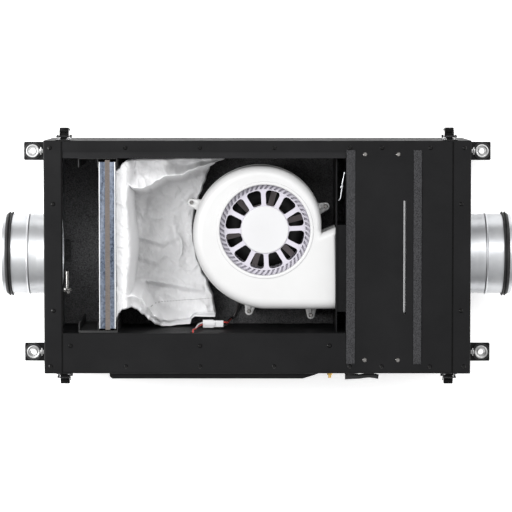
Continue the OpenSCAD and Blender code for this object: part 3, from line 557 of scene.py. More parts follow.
def make_spigot(name, node, side):
    """Spun spigot: tube with swaged steps, an outer collar and a round stop bead."""
    lo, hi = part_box(node)
    inner, tip = (lo.x, hi.x) if side > 0 else (-hi.x, -lo.x)
    wall = TUB_HI.x + 1.5 * MM
    bead = tip - 40 * MM
    r = SPIGOT_R
    collar = [(0, 0), (4.6, 0.1), (4.6, 1.1), (0.6, 1.3), (0, 2.2), (0, 11), (-0.35, 12), (-0.35, 17),
              (0, 18)]
    swell = [(1.6 * math.sin(math.pi * i / 8), i / 2 - 2) for i in range(1, 8)]
    end = [(0, -16), (-0.35, -15), (-0.35, -4.6), (0, -4), (0, -0.6), (-0.3, 0)]
    outer = [(r, inner)] + placed(collar, r, wall)
    outer += placed([(0, -2.4), *swell, (0, 2.4)], r, bead) + placed(end, r, tip)
    sheet = 0.8 * MM
    inside = [(a - sheet, h) for a, h in reversed(outer) if a < r + 0.1 * MM and h < tip - 1 * MM]
    profile = outer + [(r - sheet, tip - 0.1 * MM)] + inside
    obj = add(name, lathe(name, profile, (0, 0, DUCT_Z), (side, 0, 0), 128), ZINC_X, "casing")
    modifier(obj, "WEIGHTED_NORMAL", weight=100)
    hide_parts(node)


def make_seals():
    """Double-lip rubber ring near each spigot's tip, its lips standing free."""
    lips = [(-0.4, 0), (0.9, 0), (1.1, 1.2), (3.6, 0.2), (3.95, 0.7), (1.5, 3.2), (1, 4.4), (1.1, 5.2),
            (3.6, 4.6), (3.95, 5.1), (1.5, 7.4), (0.9, 9), (-0.4, 9)]
    profile = placed(lips, SPIGOT_R + 0.05 * MM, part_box("outlet_spigot")[1].x - 14 * MM)
    meshes = [lathe("seal", profile, (0, 0, DUCT_Z), (side, 0, 0), 128) for side in (-1, 1)]
    join(meshes, "spigot_lips", RUBBER, "casing", "rubber", "spigot_seals")


# ---------------------------------------------------------------- fan scroll


# The outline is a spiral from SPIRAL_R0 that grows by SPIRAL_RATE for each degree, then a straight
# outlet. The notch is where the outlet's top edge meets the spiral's start
SPIRAL_R0 = 87 * MM
SPIRAL_RATE = 0.133 * MM
OUTLET_TOP = 44.5 * MM
NOTCH = Vector((99.6 * MM, 35.5 * MM))
EDGE_R = 15 * MM
WALL = 2.5 * MM
INLET_R = 70 * MM
# Screw lugs: place in millimetres and heading in degrees
LUGS = ((-103, 80, 161), (107, 74, 19.5), (-13, -91, 259), (84, -97, 270))


def scroll_points():
    """Outline of the scroll as (point, edge radius), from the outlet's top corner to its bottom."""
    small, blend_turn, spiral_turn, step, outlet_steps = 10.5 * MM, 45, 270, 3, 8
    corner = Vector((SCROLL_HI.x, OUTLET_TOP))
    pts = [(p, small) for p in (corner, NOTCH + Vector((12, 5.2)) * MM, NOTCH.copy())]
    for a in range(0, spiral_turn + 1, step):
        r = SPIRAL_R0 + SPIRAL_RATE * a
        t = math.radians(a)
        edge = small + (EDGE_R - small) * min(1, a / blend_turn)
        pts.append((Vector((FAN.x + r * math.cos(t), FAN.y + r * math.sin(t))), edge))
    low = pts[-1][0].y
    for i in range(1, outlet_steps + 1):
        pts.append((Vector((FAN.x + (SCROLL_HI.x - FAN.x) * i / outlet_steps, low)), EDGE_R))
    return pts


def inward_normals(pts):
    """Mitred normal of each outline point, pointing to the inside of the scroll."""
    normals = []
    for i, (p, _) in enumerate(pts):
        before = p - pts[i - 1][0] if i else pts[1][0] - p
        after = pts[i + 1][0] - p if i + 1 < len(pts) else before
        a = Vector((-before.y, before.x)).normalized()
        b = Vector((-after.y, after.x)).normalized()
        normals.append((a + b) / (1 + a.dot(b)))
    normals[0] = Vector((0, -1))
    normals[-1] = Vector((0, 1))
    return normals


def make_scroll_half(name, node, far_z, inlet):
    """One moulded half: wall, rounded edge, flat face, and on the front half a rolled inlet."""
    sign = 1 if far_z > SPLIT_Z else -1
    pts = scroll_points()
    normals = inward_normals(pts)
    rim, rim_h = 0.9 * MM, 2.2 * MM

    def ring(inset, drop):
        """Outline moved in by inset and back from the far face by drop, both functions of radius."""
        return [Vector((*(p + n * inset(r)), far_z - sign * drop(r))) for (p, r), n in zip(pts, normals)]

    depth = abs(far_z - SPLIT_Z)
    bead = [(-rim, 0), (-rim, rim_h - 0.4 * MM), (-rim + 0.3 * MM, rim_h), (0, rim_h)]
    rings = [ring(lambda r, out=out: out, lambda r, up=up: depth - up)
             for out, up in (bead if inlet else [(0, 0)])]
    steps = 9
    for i in range(steps + 1):
        c, d = math.cos(math.pi / 2 * i / steps), math.sin(math.pi / 2 * i / steps)
        rings.append(ring(lambda r, c=c: r * (1 - c), lambda r, d=d: r * (1 - d)))
    rings.append(ring(lambda r: r + 0.8 * MM, lambda r: 0))
    hole = INLET_R + 5.2 * MM if inlet else 8 * MM
    turn = 120
    outline = [(v.x, v.y) for v in rings[-1]]
    face, _ = filled([outline, circle(hole + 0.5 * MM, turn, FAN.x, FAN.y)], far_z)
    mouth = placed([(0.5, 0), (0, 0)], hole, far_z)
    if inlet:
        mouth += placed([(-0.3, 0.9), (-1.2, 1.4)], hole, far_z)
        mouth += placed([(1.4, 1.3), (0.3, 0.5), (0, -1), (0, -6), (1.2, -9)], INLET_R, far_z)
    meshes = [rings_mesh(name + "_walls", rings, closed=False), mesh_of(face, "face"),
              rings_mesh(name + "_mouth", fan_rings(mouth, turn))]
    obj = join(meshes, name, WHITE_PLASTIC, "casing", "white_plastic", node)
    recalc(obj.data)
    modifier(obj, "SOLIDIFY", thickness=WALL, offset=-1)
    modifier(obj, "WEIGHTED_NORMAL", weight=100)


def make_lugs():
    """Screw lugs of the scroll, tapering outward from its wall, each with a short rib."""
    root, half_root, end_r, hole_r = 16 * MM, 10 * MM, 6 * MM, 2.2 * MM
    rib, rib_end = 1.1 * MM, 3.4 * MM
    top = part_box("fan_screws")[1].z - 1.8 * MM
    outline = [(-root, half_root), *arc(0, 0, end_r, 78, -78, 20), (-root, -half_root)]
    rib_outline = [(-root, rib), (-rib_end, rib), (-rib_end, -rib), (-root, -rib)]
    meshes = []
    for x, y, heading in LUGS:
        place = Matrix.Translation((x * MM, y * MM, 0)) @ Matrix.Rotation(math.radians(heading), 4, "Z")
        meshes.append(plate_with_holes(outline, [circle(hole_r, 24)], top - 4 * MM, top, place))
        meshes.append(plate_with_holes(rib_outline, [], top - 10 * MM, top + 2.2 * MM, place))
    join(meshes, "scroll_lugs", WHITE_PLASTIC, "casing", "white_plastic")


# ---------------------------------------------------------------- fan wheel


SPOKES = 12
SPOKE_TURN = math.radians(2.5)
BLADES = 54
HUB_R = 36.8 * MM
RING_R = 77 * MM


def window_outline(centre):
    """Rounded opening in the wheel's face between two spokes of even width."""
    r0, r1, half_spoke, corner_in, corner_out = (v * MM for v in (37.6, 61.4, 3.6, 3.2, 7))
    out_steps, in_steps = 8, 4

    def edge(r):
        """Half the opening's angle at a radius."""
        return math.pi / SPOKES - math.asin(half_spoke / r)

    def place(r, a):
        return (r * math.cos(centre + a), r * math.sin(centre + a))

    def outer_corner(side):
        return [place(r1, side * (edge(r1) - corner_out / r1)), place(r1, side * edge(r1)),
                place(r1 - corner_out, side * edge(r1 - corner_out))]

    def inner_corner(side):
        return [place(r0 + corner_in, side * edge(r0 + corner_in)), place(r0, side * edge(r0)),
                place(r0, side * (edge(r0) - corner_in / r0))]

    far, near = edge(r1) - corner_out / r1, edge(r0) - corner_in / r0
    pts = [place(r1, far * (2 * i / out_steps - 1)) for i in range(out_steps + 1)]
    pts += bend(*outer_corner(1)) + bend(*inner_corner(1))
    pts += [place(r0, near * (1 - 2 * i / in_steps)) for i in range(in_steps + 1)]
    pts += bend(*reversed(inner_corner(-1))) + bend(*reversed(outer_corner(-1)))
    clean = [pts[0]]
    for p in pts[1:]:
        if min((Vector(p) - Vector(q)).length for q in (clean[-1], pts[0])) > 1e-5:
            clean.append(p)
    return clean


def bend(a, corner, b, count=6):
    """Points of a rounded corner from a to b, pulled towards the corner."""
    a, corner, b = Vector(a), Vector(corner), Vector(b)
    return [tuple(a * (1 - t) ** 2 + corner * 2 * t * (1 - t) + b * t * t)
            for t in [i / count for i in range(count + 1)]]


def make_wheel():
    """Fan wheel: spoked face and curved blades between two rings, with a dark skirt behind the hub."""
    lo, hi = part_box("impeller")
    z0, z1 = lo.z, hi.z
    windows = [window_outline(SPOKE_TURN + (i + 0.5) * 2 * math.pi / SPOKES) for i in range(SPOKES)]
    meshes = [plate_with_holes(circle(62.9 * MM, 144), windows, z1 - 6 * MM, z1,
                               Matrix.Translation((FAN.x, FAN.y, 0)))]
    for r0, low, high in ((62.6 * MM, z0, z0 + 3 * MM), (62 * MM, z1 - 6 * MM, z1 - 5 * MM)):
        ring = [(r0, low), (RING_R, low), (RING_R, high), (r0, high)]
        meshes.append(fan_lathe("ring", ring, 144))
    for i in range(BLADES):
        meshes.append(blade_mesh(2 * math.pi * i / BLADES, z0 + 1 * MM, z1 - 0.3 * MM))
    wheel = join(meshes, "fan_wheel", WHEEL_PLASTIC, "wheel", "white_plastic", "impeller")
    for face in wheel.data.polygons:
        face.use_smooth = False
    low, high, bore = z0 + 30 * MM, z1 - 3 * MM, 34.1 * MM
    skirt = [(bore, low), (HUB_R - 1 * MM, low), (HUB_R - 0.3 * MM, high), (bore, high)]
    add("hub_skirt", fan_lathe("hub_skirt", skirt, 96), BLACK_PLASTIC, "wheel")
    make_hub_dome(z1)


def make_hub_dome(z):
    """Domed white cap that closes the hub, on the wheel's face at height z."""
    flat_r, edge_r = 30 * MM, 1.6 * MM
    dome = [(flat_r, z - 2 * MM), (HUB_R - 0.2 * MM, z - 2 * MM), (HUB_R, z + 0.3 * MM),
            *arc(HUB_R - edge_r, z + 0.9 * MM, edge_r, 0, 90, 6), (flat_r, z + 2.5 * MM)]
    mesh = rings_mesh("hub_dome", fan_rings(dome, 96), cap=True)
    cap = add("hub_dome", mesh, CAP_PLASTIC, "wheel")
    modifier(cap, "WEIGHTED_NORMAL", weight=100)
    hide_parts("hub_cap")


def blade_mesh(angle, z0, z1):
    """One forward-curved blade, thicker in its middle."""
    steps = 5
    rings = []
    for z in (z0, z1):
        near, far = [], []
        for i in range(steps + 1):
            t = i / steps
            r = (61.9 + 14.6 * t) * MM
            a = angle - 0.13 * t - 0.06 * t * t
            half = (1.3 + 0.9 * math.sin(math.pi * t)) * MM / r
            near.append((FAN.x + r * math.cos(a - half), FAN.y + r * math.sin(a - half), z))
            far.append((FAN.x + r * math.cos(a + half), FAN.y + r * math.sin(a + half), z))
        rings.append([Vector(p) for p in near + far[::-1]])
    return rings_mesh("blade", rings, cap=True)


def make_motor_plate():
    """Black backing plate on the scroll's floor, under the motor struts."""
    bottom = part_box("motor_base")[0].z
    profile = placed([(15, 0.1), (82, 0.1), (82, 1.2), (15, 1.2)], 0, bottom)
    add("motor_plate", fan_lathe("motor_plate", profile, 96), BLACK_PLASTIC, "casing")


# ---------------------------------------------------------------- filter bag


# All in millimetres: the bag's start at its frame, the width of the band rolled round the frame, the
# heights of its rim, panel and underside above the back face, and how softly its shapes join
BAG_X0 = -217.4
BAND_W = 27
BAG_RIM_Z = 168
BAG_PANEL_Z = 44
BAG_FLOOR_Z = 25
BAG_SOFT = 4
# Seen from the service side: the bag's edges and its two bright ridges. Each table gives a place or a
# height along X, except that TOP_EDGE_Y runs from the frame (0) to the tail (1) and RIGHT_EDGE_X along Y
TOP_EDGE_Y = [(0, 133), (0.03, 136), (0.06, 144), (0.1, 148.5), (0.2, 149.5), (1, 148)]
TOP_EDGE_Z = [(-217, 160), (-205, 152), (-150, 132), (-100, 108), (-51, 95)]
RIDGE_Y = [(-218, 131), (-211, 126), (-202, 113), (-190, 106.5), (-178, 105.5), (-167, 109.5),
           (-154, 118), (-141, 124), (-118, 125.5), (-104, 132), (-87, 138), (-66, 143), (-51, 145)]
RIDGE_Z = [(-218, 168), (-190, 164), (-150, 146), (-100, 118), (-51, 97)]
LOW_EDGE_Y = [(-218, -96), (-214, -88), (-208, -82.5), (-197, -80), (-188, -84), (-178, -93),
              (-168, -103), (-158, -111), (-150, -114), (-136, -114.5), (-122, -112.5),
              (-106, -111.5), (-102.5, -102), (-98, -99.5), (-66, -99.5)]
LOW_EDGE_Z = [(-218, 150), (-205, 150), (-188, 142), (-170, 126), (-150, 104), (-130, 92), (-105, 96),
              (-66, 104)]
ROLL_Y = [(-218, -70), (-205, -64), (-193, -61), (-180, -66), (-170, -80), (-160, -95), (-150, -103),
          (-136, -106), (-110, -105), (-95, -96), (-66, -94)]
ROLL_Z = [(-218, 167), (-193, 166), (-175, 156), (-160, 134), (-145, 104), (-120, 72), (-95, 60),
          (-66, 58)]
RIGHT_EDGE_X = [(-99.5, -66), (-72, -70), (-48, -78), (-30, -88), (-5, -97), (20, -101.5), (40, -102.5),
                (62, -100), (84, -93), (100, -87), (116, -81), (134, -75), (142, -66), (147.5, -51)]
# Creases of the sunken panel: start, end, half-width and height
CREASES = [((-186, -44), (-148, -49), 4.5, 8), ((-148, -49), (-94, -58), 5.5, 7.5),
           ((-140, 60), (-122, 5), 7, 3.4), ((-128, 30), (-124, -34), 9, 5.5),
           ((-165, 84), (-178, 40), 6, 3.6), ((-105, 95), (-130, 70), 6, 3.4),
           ((-150, 96), (-132, 84), 5, 3), ((-188, 24), (-152, 12), 4.5, 4.4),
           ((-152, 12), (-130, 22), 5, 3), ((-188, -8), (-160, -16), 5, 3.6),
           ((-186, 62), (-150, 52), 6, 2.6), ((-112, 66), (-104, 30), 6, 3),
           ((-100, -70), (-82, -95), 8, 3), ((-140, -62), (-128, -96), 9, 2.4),
           ((-172, -58), (-160, -85), 7, 2.4)]


def lerp_table(table, x):
    """Smooth lookup in a list of (x, value)."""
    if x <= table[0][0]:
        return table[0][1]
    for (x0, v0), (x1, v1) in zip(table, table[1:]):
        if x <= x1:
            t = (x - x0) / (x1 - x0)
            t = t * t * (3 - 2 * t)
            return v0 + (v1 - v0) * t
    return table[-1][1]


def crease_lift(x, y):
    """Height added at a point by the soft creases that run across the panel."""
    total = 0
    p = Vector((x, y))
    for a, b, width, height in CREASES:
        a, b = Vector(a), Vector(b)
        along = b - a
        t = max(-0.25, min(1.25, (p - a).dot(along) / along.length_squared))
        away = (p - a - along * t)
        side = away.length * (1 if away.x * along.y - away.y * along.x > 0 else -1)
        fade = 1 - min(1, max(0, abs(t - 0.5) - 0.4) / 0.35)
        if abs(side) < 4 * width and fade > 0:
            lift = math.exp(-(side / width) ** 2) - 0.6 * math.exp(-((side - 1.6 * width) / width) ** 2)
            total += height * fade * lift
    return total


def panel_height(x, y):
    """Sunken panel: a shallow hollow, a slope up to the tail, and its creases."""
    hollow = 8 * math.exp(-((x + 135) / 40) ** 2 - ((y - 20) / 60) ** 2)
    return BAG_PANEL_Z - hollow + 0.10 * (x + 150) + crease_lift(x, y)


def band_height(x, y, panel):
    """Band of cloth rolled round the frame, which drops steeply to the panel."""
    t = min(1, max(0, (x - BAG_X0) / (BAND_W + 3 * math.sin(y * 0.045 + 1))))
    return panel + (BAG_RIM_Z - panel) * (1 - t ** 9) ** 0.6


def wall_height(x, y, panel):
    """Top wall: a ridge that drops to the panel, with a valley and a ruffled edge behind it."""
    ridge_y, ridge_z = lerp_table(RIDGE_Y, x), lerp_table(RIDGE_Z, x)
    if y < ridge_y:
        return panel + (ridge_z - panel) * math.exp(-((ridge_y - y) / 9) ** 2)
    u = min(1, (y - ridge_y) / max(1, 149 - ridge_y))
    valley = 16 * math.sin(math.pi * u ** 1.3) * (1 - 0.4 * math.sin(x * 0.07))
    ruffle = 3.5 * math.sin(x * 0.15 + y * 0.12) + 2.5 * math.sin(x * 0.29 - y * 0.1)
    return ridge_z + (lerp_table(TOP_EDGE_Z, x) - ridge_z) * u - valley + ruffle * u


def roll_height(x, y, panel):
    """Roll of cloth along the lower edge."""
    roll_y, roll_z = lerp_table(ROLL_Y, x), lerp_table(ROLL_Z, x)
    if y >= roll_y:
        return panel + (roll_z - panel) * math.exp(-((y - roll_y) / 12) ** 2)
    low_y, low_z = lerp_table(LOW_EDGE_Y, x), lerp_table(LOW_EDGE_Z, x)
    u = min(1, (roll_y - y) / max(1, roll_y - low_y))
    return roll_z + (low_z - roll_z) * u * u - 9 * math.sin(math.pi * u)


def wrinkle_lift(x, y):
    """Height added by broad wrinkles, sharper folds and fine crumpling."""
    wrinkle = noise.fractal(Vector((x * 0.03, y * 0.026, 1.7)), 1.0, 2.2, 4)
    fold_highlights = 1 - abs(noise.noise(Vector((x * 0.05 + y * 0.012, y * 0.035, 9.3)))) * 2
    fine = noise.fractal(Vector((x * 0.13, y * 0.09, 5.1)), 1.0, 2.0, 3)
    return 4.6 * wrinkle + 7.0 * max(0, fold_highlights - 0.6) ** 1.5 + 1.2 * fine


def bag_height(x, y):
    """Height of the cloth above the back face: the highest of its shapes, softly joined."""
    panel = panel_height(x, y)
    shapes = [height(x, y, panel) for height in (band_height, wall_height, roll_height)]
    top = max(shapes)
    blend = math.log(sum(math.exp((h - top) / BAG_SOFT) for h in shapes))
    return top + 0.35 * BAG_SOFT * blend + wrinkle_lift(x, y)


def bag_point(u, v):
    """Plan position of cloth coordinates u (from frame to tail) and v (low to high edge)."""
    y = -99 + 246.5 * v
    x_right = lerp_table(RIGHT_EDGE_X, y)
    x = BAG_X0 + (x_right - BAG_X0) * u
    low = lerp_table(LOW_EDGE_Y, x)
    high = lerp_table(TOP_EDGE_Y, u)
    return x, low + (high - low) * v


def make_bag():
    """Filter bag: one cloth surface over its domed, sunken and rolled parts, closed underneath."""
    nu, nv = ((190, 250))
    top, under = [], []
    for j in range(nv + 1):
        for i in range(nu + 1):
            u, v = i / nu, j / nv
            x, y = bag_point(u, v)
            z = max(BAG_FLOOR_Z + 4, bag_height(x, y))
            edge = min(1, v / 0.012, (1 - v) / 0.012, (1 - u) / 0.02)
            z -= 5 * (1 - math.sin(edge * math.pi / 2))
            top.append(Vector((x, y, z)) * MM)
            under.append(Vector((x, y, BAG_FLOOR_Z)) * MM)
    count = len(top)
    faces = []
    row = nu + 1
    for j in range(nv):
        for i in range(nu):
            a = j * row + i
            faces.append((a, a + 1, a + row + 1, a + row))
    border = [i for i in range(row)] + [j * row + nu for j in range(1, nv + 1)]
    border += [nv * row + i for i in range(nu - 1, -1, -1)] + [j * row for j in range(nv - 1, 0, -1)]
    base = len(border)
    verts = top + [under[a] for a in border]
    for k, a in enumerate(border):
        b = border[(k + 1) % base]
        faces.append((a, count + k, count + (k + 1) % base, b))
    faces.append(tuple(count + k for k in range(base)))
    mesh = recalc(mesh_from("filter_bag", verts, faces))
    obj = add("filter_pocket", mesh, CLOTH, "filter")
    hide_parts("filter_bag")
    return obj


def make_bag_seam():
    """Row of small stitches across the lower part of the bag's panel."""
    meshes = []
    start, pitch, count, length = -166, 4.6, 21, 1.8
    for i in range(count):
        x = start + pitch * i
        y = -81 + 0.08 * (x + 168)
        ends = [Vector((px, y, bag_height(px, y) + 0.4)) * MM for px in (x, x + length / 2, x + length)]
        meshes.append(sweep("stitch", ends, 0.55 * MM, 6, 2))
    join(meshes, "bag_stitches", THREAD, "filter", "felt")


# ---------------------------------------------------------------- wires and small parts


def make_fan_lead():
    """Red and white wires from the channel to the plug, then red and black into a black sleeve."""
    lo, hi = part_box("fan_plug")
    lead_lo, lead_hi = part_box("fan_lead")
    mid = (lo + hi) / 2
    near, far = Vector((lo.x, mid.y, mid.z)), Vector((hi.x, mid.y, mid.z))
    hole = Vector((lead_lo.x + 1.1 * MM, lead_lo.y, lead_hi.z - 2.6 * MM))
    entry = Vector((-42 * MM, mid.y + 1 * MM, 26 * MM))
    under = Vector((lead_hi.x, lead_hi.y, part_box("motor_base")[0].z - 5 * MM))

    def moved(start, *offset):
        """A point moved by an offset in millimetres."""
        return start + Vector(offset) * MM

    def from_channel(side, lift):
        """Path from the hole in the channel to the plug."""
        bend_y = mid.y / MM - hole.y / MM
        return [moved(near, 3, side, 0), moved(near, -1, side, 2), moved(near, -7, side - 1.5, 16),
                moved(hole, 3, bend_y - 4.2, lift - 12), moved(hole, 0, bend_y - 5, lift - 2),
                moved(hole, 0, 0, lift)]

    def to_sleeve(side, bow):
        """Path from the plug's other end into the sleeve."""
        return [moved(far, -3, side, 0), moved(far, 2, side * 1.6, bow), moved(far, 7, side * 0.6, -8),
                moved(far, 6, -side, -30), moved(entry, side * 0.4, -side * 0.4, 4)]

    runs = ((RED_WIRE, "wire_red_in", from_channel(-1.3, 1.5)),
            (WHITE_WIRE, "wire_white_in", from_channel(1.4, -1.5)),
            (RED_WIRE, "wire_red_out", to_sleeve(1.6, 2)),
            (BLACK_WIRE, "wire_black_out", to_sleeve(-1.6, 1)))
    for material, name, points in runs:
        wire = add(name, sweep(name, points, 1.1 * MM), material, "casing")
        if name == "wire_red_in":
            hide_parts("fan_lead")
    sleeve = [moved(entry, 0, 0, 6), entry, moved(entry, 5, 3, -4), Vector((-30, -86, 24)) * MM,
              Vector((-20, -50, 36)) * MM, under]
    add("wire_sleeve", sweep("wire_sleeve", sleeve, 2 * MM), BLACK_WIRE, "casing")


def make_plug():
    """Two-way white connector: shell, the smaller mating half and a latch ridge."""
    lo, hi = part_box("fan_plug")
    mid = lo.x + 17 * MM
    halves = (("plug_shell", lo, (mid, hi.y, hi.z), 0.7),
              ("plug_mate", (mid - 0.5 * MM, lo.y + 1 * MM, lo.z + 1 * MM),
               (hi.x, hi.y - 1 * MM, hi.z - 1 * MM), 0.6),
              ("plug_latch", (lo.x + 3 * MM, lo.y + 3 * MM, hi.z - 0.4 * MM),
               (mid + 2 * MM, hi.y - 3 * MM, hi.z + 1.1 * MM), 0.5))
    for name, low, high, bevel in halves:
        obj = add(name, rounded_box(low, high, bevel * MM), CAP_PLASTIC, "casing")
        if name == "plug_shell":
            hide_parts("fan_plug")


def make_foam_strips():
    """Foam gaskets with slightly uneven edges."""
    lo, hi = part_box("foam_strips")
    long, wide = 120, 6
    top, low, uneven = hi.z, TOP + 0.05 * MM, 0.35 * MM
    meshes = []
    for x0, x1 in ((lo.x, lo.x + 13.6 * MM), (hi.x - 12.5 * MM, hi.x)):
        rows = []
        for j in range(long + 1):
            y = lo.y + (hi.y - lo.y) * j / long
            left = x0 + uneven * noise.noise(Vector((y * 60, x0 * 90, 0)))
            right = x1 + uneven * noise.noise(Vector((y * 60, x1 * 90, 3)))
            ring = [(left, y, low), (left, y, top - 0.4 * MM)]
            for i in range(wide + 1):
                x = left + 0.4 * MM + (right - left - 0.8 * MM) * i / wide
                lift = 0.15 * MM * (noise.noise(Vector((x * 300, y * 120, 7))) - 1)
                ring.append((x, y, top + lift))
            rows.append(ring + [(right, y, top - 0.4 * MM), (right, y, low)])
        meshes.append(rings_mesh("foam", rows, cap=True))
    join(meshes, "foam_gaskets", FOAM, "casing", "foam", "foam_strips")


def at_rod_holes(name, profile, segments):
    """The same turned profile at each of the four rod holes."""
    return [lathe(name, profile, (x * MM, y * MM, 0), (0, 0, 1), segments) for x, y in ROD_HOLES]


def make_grommets():
    """Rubber rings clamped round the bracket tabs, with a rounded rim."""
    lo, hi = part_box("bracket_grommets")
    tab_lo, tab_hi = lo.z + 3.48 * MM, hi.z - 3.48 * MM
    bore, rim, neck, soft = 6.55 * MM, 12.7 * MM, 8.95 * MM, 1.3 * MM
    profile = [(bore, lo.z), (rim, lo.z), *arc(rim, lo.z + soft, soft, -60, 60, 5)]
    profile += [(rim, tab_lo), (neck, tab_lo), (neck, tab_hi), (rim, tab_hi)]
    profile += [*arc(rim, hi.z - soft, soft, -50, 80, 6), (bore, hi.z - 0.02 * MM)]
    join(at_rod_holes("grommet", profile, 48), "rubber_grommets", RUBBER, "casing", "rubber",
         "bracket_grommets")


def make_bushes():
    """Zinc bushes in the grommets: tube, rounded flange with a pressed groove, open rod hole."""
    bore = RODS["hole_r_mm"]
    lo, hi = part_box("bracket_bushes")
    low = (lo.z - hi.z) / MM
    section = [(bore, low), (6.5, low), (6.5, -1.5), (10.5, -1.5), (10.5, -0.6), (10.3, -0.2), (9.9, 0),
               (7.4, 0), (7, -0.6), (6.3, -0.6), (5.9, 0), (bore + 0.4, 0), (bore, -0.4)]
    meshes = at_rod_holes("bush", placed(section, 0, hi.z), 64)
    join(meshes, "rod_bushes", WASHER, "casing", "galvanised", "bracket_bushes")


def make_bush_tabs():
    """Bright cross-shaped tab beside each bush, lying on the grommet's rim."""
    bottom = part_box("bracket_grommets")[1].z / MM + 0.02
    meshes = []
    for x, y in ROD_HOLES:
        inward = -1 if x > 0 else 1
        for near, far, half in ((10.7, 16.4, 3.2), (12.2, 14, 6)):
            x0, x1 = sorted((x + inward * near, x + inward * far))
            meshes.append(rounded_box(Vector((x0, y - half, bottom)) * MM,
                                      Vector((x1, y + half, bottom + 1)) * MM, 0.3 * MM))
    join(meshes, "bush_tabs", WASHER, "casing", "galvanised")


def make_cable():
    """Mains cable tail leaving its strain relief and cut square at the end."""
    lo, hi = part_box("power_cable")
    z = (lo.z + hi.z) / 2
    x = lo.x + 8 * MM
    y = -HALF_W - 6 * MM
    tail = [(x, y, z), (x + 14 * MM, y - 0.4 * MM, z), (x + 30 * MM, y + 1.4 * MM, z),
            (hi.x, y - 0.6 * MM, z)]
    body = [(x, -HALF_W + 3 * MM, z), (x, -HALF_W - 2 * MM, z), (x + 0.5 * MM, -HALF_W - 4.5 * MM, z)]
    nut = placed([(3, 0), (8, 0), (8, 2.5), (7, 3.4), (3, 3.4)], 0, 0)
    sleeve = [(x - 7 * MM, y, z), (x + 2 * MM, y, z), (x + 13 * MM, y, z)]
    sides = 20
    meshes = [sweep("cable_tail", tail, 3.6 * MM, sides), sweep("gland_body", body, 6 * MM, sides),
              lathe("gland_nut", nut, (x, -HALF_W - 0.05 * MM, z), (0, -1, 0), 6),
              sweep("sleeve", sleeve, lambda t: (5.2 - 1.2 * t) * MM, sides)]
    join(meshes, "cable_and_gland", RUBBER, "casing", "rubber", "power_cable")


def make_clip():
    """Bent spring-wire clip on the partition, with a flattened middle."""
    lo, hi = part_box("sensor_clip")
    z = hi.z - 1 * MM
    wire = [(134.2, 131), (132.8, 124), (131, 115), (130.2, 110), (130.6, 106.5), (129.4, 101),
            (128.4, 93), (127.2, 89), (125.4, 87)]
    points = [(x * MM, y * MM, z) for x, y in wire] + [(lo.x + 0.8 * MM, 87 * MM, lo.z)]
    meshes = [sweep("wire", points, 0.85 * MM, 12, 6),
              rounded_box((127.8 * MM, 105.4 * MM, z - 1 * MM), (131.4 * MM, 108.6 * MM, z + 1 * MM),
                          0.3 * MM)]
    join(meshes, "spring_clip", BRIGHT, "casing", "bright_steel", "sensor_clip")


def make_seam_shade_strips():
    """Near-black strip along the joint between each end's folded flange and the tub: painted shade of the groove
    there.
    """
    width, rise = 1.2 * MM, 0.25 * MM
    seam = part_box("end_panel_outlet")[0].x - 0.3 * MM
    meshes = [rounded_box((x - width, -HALF_W + 1.5 * MM, TOP - 0.2 * MM),
                          (x + width, HALF_W - 1.5 * MM, TOP + rise), 0.15 * MM) for x in (-seam, seam)]
    join(meshes, "seam_shade_strips", SEAM_SHADE, "casing", "rubber")


def make_latch_details():
    """Thumb pad and web on each latch lever, and the rolled eyes at the foot of its wire bail."""
    places = {j["name"]: Vector(j["pos_m"]) for j in frame["joints"] if "pos_m" in j}
    pad = ((-7.1, 5.4, -8.2), (7.1, 11.5, 0.3))
    web = ((-5.4, -2.5, -12), (5.4, 5.6, -4.8))
    eye_r, eye_in, eye_out = 2.4 * MM, 8.6 * MM, 11.6 * MM
    for i in LATCHES:
        pivot = places[f"lever_{i}_open"]
        out = 1 if pivot.y > 0 else -1
        blocks = []
        for low, high in (pad, web):
            near, far = sorted((low[1] * out, high[1] * out))
            blocks.append(rounded_box(pivot + Vector((low[0], near, low[2])) * MM,
                                      pivot + Vector((high[0], far, high[2])) * MM, 1.2 * MM))
        join(blocks, f"latch_pad_{i}", LATCH_BLACK, f"lever_{i}", "black_coat")
        pin = places[f"bail_{i}_swing"]
        ends = [[pin + Vector((side * x, 0, 0)) for x in (eye_in, eye_out)] for side in (-1, 1)]
        eyes = [sweep("eye", pair, eye_r, 20, 1) for pair in ends]
        join(eyes, f"bail_eyes_{i}", LATCH_BLACK, f"bail_{i}", "black_coat")


# ---------------------------------------------------------------- scene


# The camera stands off to one side of the unit and looks almost straight down at its service face
CAMERA_OFFSET_Y = 277.5 * MM
CAMERA_DISTANCE = 4.2
CAMERA_LENS = 193
CAMERA_AIM = Vector((-2 * MM, 2.2 * MM, TOP))
FLOOR_SIZE = 12
FLOOR_GAP = 0.4 * MM


def make_camera():
    """Long-lens camera over the service side, set off in Y and turned only slightly."""
    data = bpy.data.cameras.new("camera")
    data.lens = CAMERA_LENS
    data.sensor_width = 36
    data.clip_end = 50
    camera = place_in_scene("camera", data)
    camera.location = (0, CAMERA_OFFSET_Y, TOP + CAMERA_DISTANCE)
    away = CAMERA_AIM - camera.location
    camera.rotation_euler = (math.atan2(away.y, -away.z), math.atan2(-away.x, -away.z), 0)
    bpy.context.scene.camera = camera


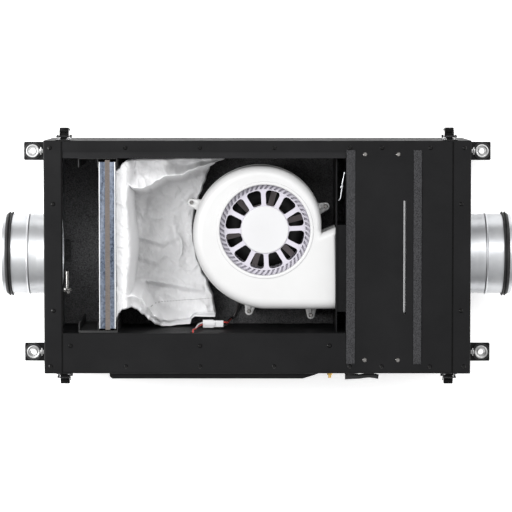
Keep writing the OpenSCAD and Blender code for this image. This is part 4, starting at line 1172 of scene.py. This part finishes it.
def make_floor():
    """White paper under the unit, a little brighter than the lamps alone would make it."""
    n = Nodes("floor_paper")
    colour = n.blend(n.spread(n.noise(3, 3), 0, 1), (0.97, 0.97, 0.97), (0.985, 0.985, 0.985))
    paper = n.finish(colour, n.spread(n.noise(40, 3), 0.8, 0.9), None, Specular_IOR_Level=0.1,
                     Emission_Color=(1, 1, 1, 1), Emission_Strength=0.45)
    corners = [(x * FLOOR_SIZE, y * FLOOR_SIZE, 0) for x, y in ((-1, -1), (1, -1), (1, 1), (-1, 1))]
    mesh = mesh_from("floor", corners, [(0, 1, 2, 3)])
    mesh.materials.append(paper)
    floor = place_in_scene("floor", mesh)
    floor.location.z = -FLOOR_GAP


def area_light(name, place, aim, size, watts):
    """Rectangular lamp at place, turned to face aim."""
    data = bpy.data.lights.new(name, "AREA")
    data.shape = "RECTANGLE"
    data.size, data.size_y = size
    data.energy = watts
    light = place_in_scene(name, data)
    light.location = place
    light.rotation_mode = "QUATERNION"
    light.rotation_quaternion = (Vector(aim) - Vector(place)).to_track_quat("-Z", "Y")


def make_lights():
    """Soft studio: a sky that darkens towards the horizon, three large lamps and a small one."""
    world = bpy.data.worlds.new("studio")
    world.use_nodes = True
    tree = world.node_tree
    place = tree.nodes.new("ShaderNodeTexCoord")
    split = tree.nodes.new("ShaderNodeSeparateXYZ")
    ramp = tree.nodes.new("ShaderNodeValToRGB")
    tree.links.new(place.outputs["Generated"], split.inputs["Vector"])
    tree.links.new(split.outputs["Z"], ramp.inputs["Fac"])
    tree.links.new(ramp.outputs["Color"], tree.nodes["Background"].inputs["Color"])
    low, high = ramp.color_ramp.elements
    low.position, low.color = 0.0, (0.10, 0.10, 0.105, 1)
    high.position, high.color = 0.75, (1, 1, 1, 1)
    tree.nodes["Background"].inputs["Strength"].default_value = 0.72
    bpy.context.scene.world = world
    area_light("key", (-1.25, 0.45, 1.8), (-0.1, 0, 0.1), (1.2, 1.2), 31)
    area_light("fill", (1.9, 0.5, 2.3), (0, 0, 0.1), (1.5, 1.5), 26)
    area_light("top", (0.1, 1.4, 3.2), (0, 0, 0.1), (2.4, 1.2), 34)
    area_light("duct", (-0.8, 0, 0.2), (-0.28, 0, 0.06), (0.25, 0.25), 2)
    bpy.context.scene.view_settings.view_transform = "Standard"


dress_cad_nodes()
make_spigot("inlet_tube", "inlet_spigot", -1)
make_spigot("outlet_tube", "outlet_spigot", 1)
make_seals()
make_scroll_half("scroll_cover", "scroll_front", SCROLL_HI.z - 1.5 * MM, True)
make_scroll_half("scroll_base", "scroll_back", SCROLL_LO.z, False)
make_lugs()
make_motor_plate()
make_wheel()
make_bag()
make_bag_seam()
make_fan_lead()
make_plug()
make_foam_strips()
make_grommets()
make_bushes()
make_bush_tabs()
make_cable()
make_clip()
make_latch_details()
make_seam_shade_strips()
make_floor()
make_lights()
make_camera()
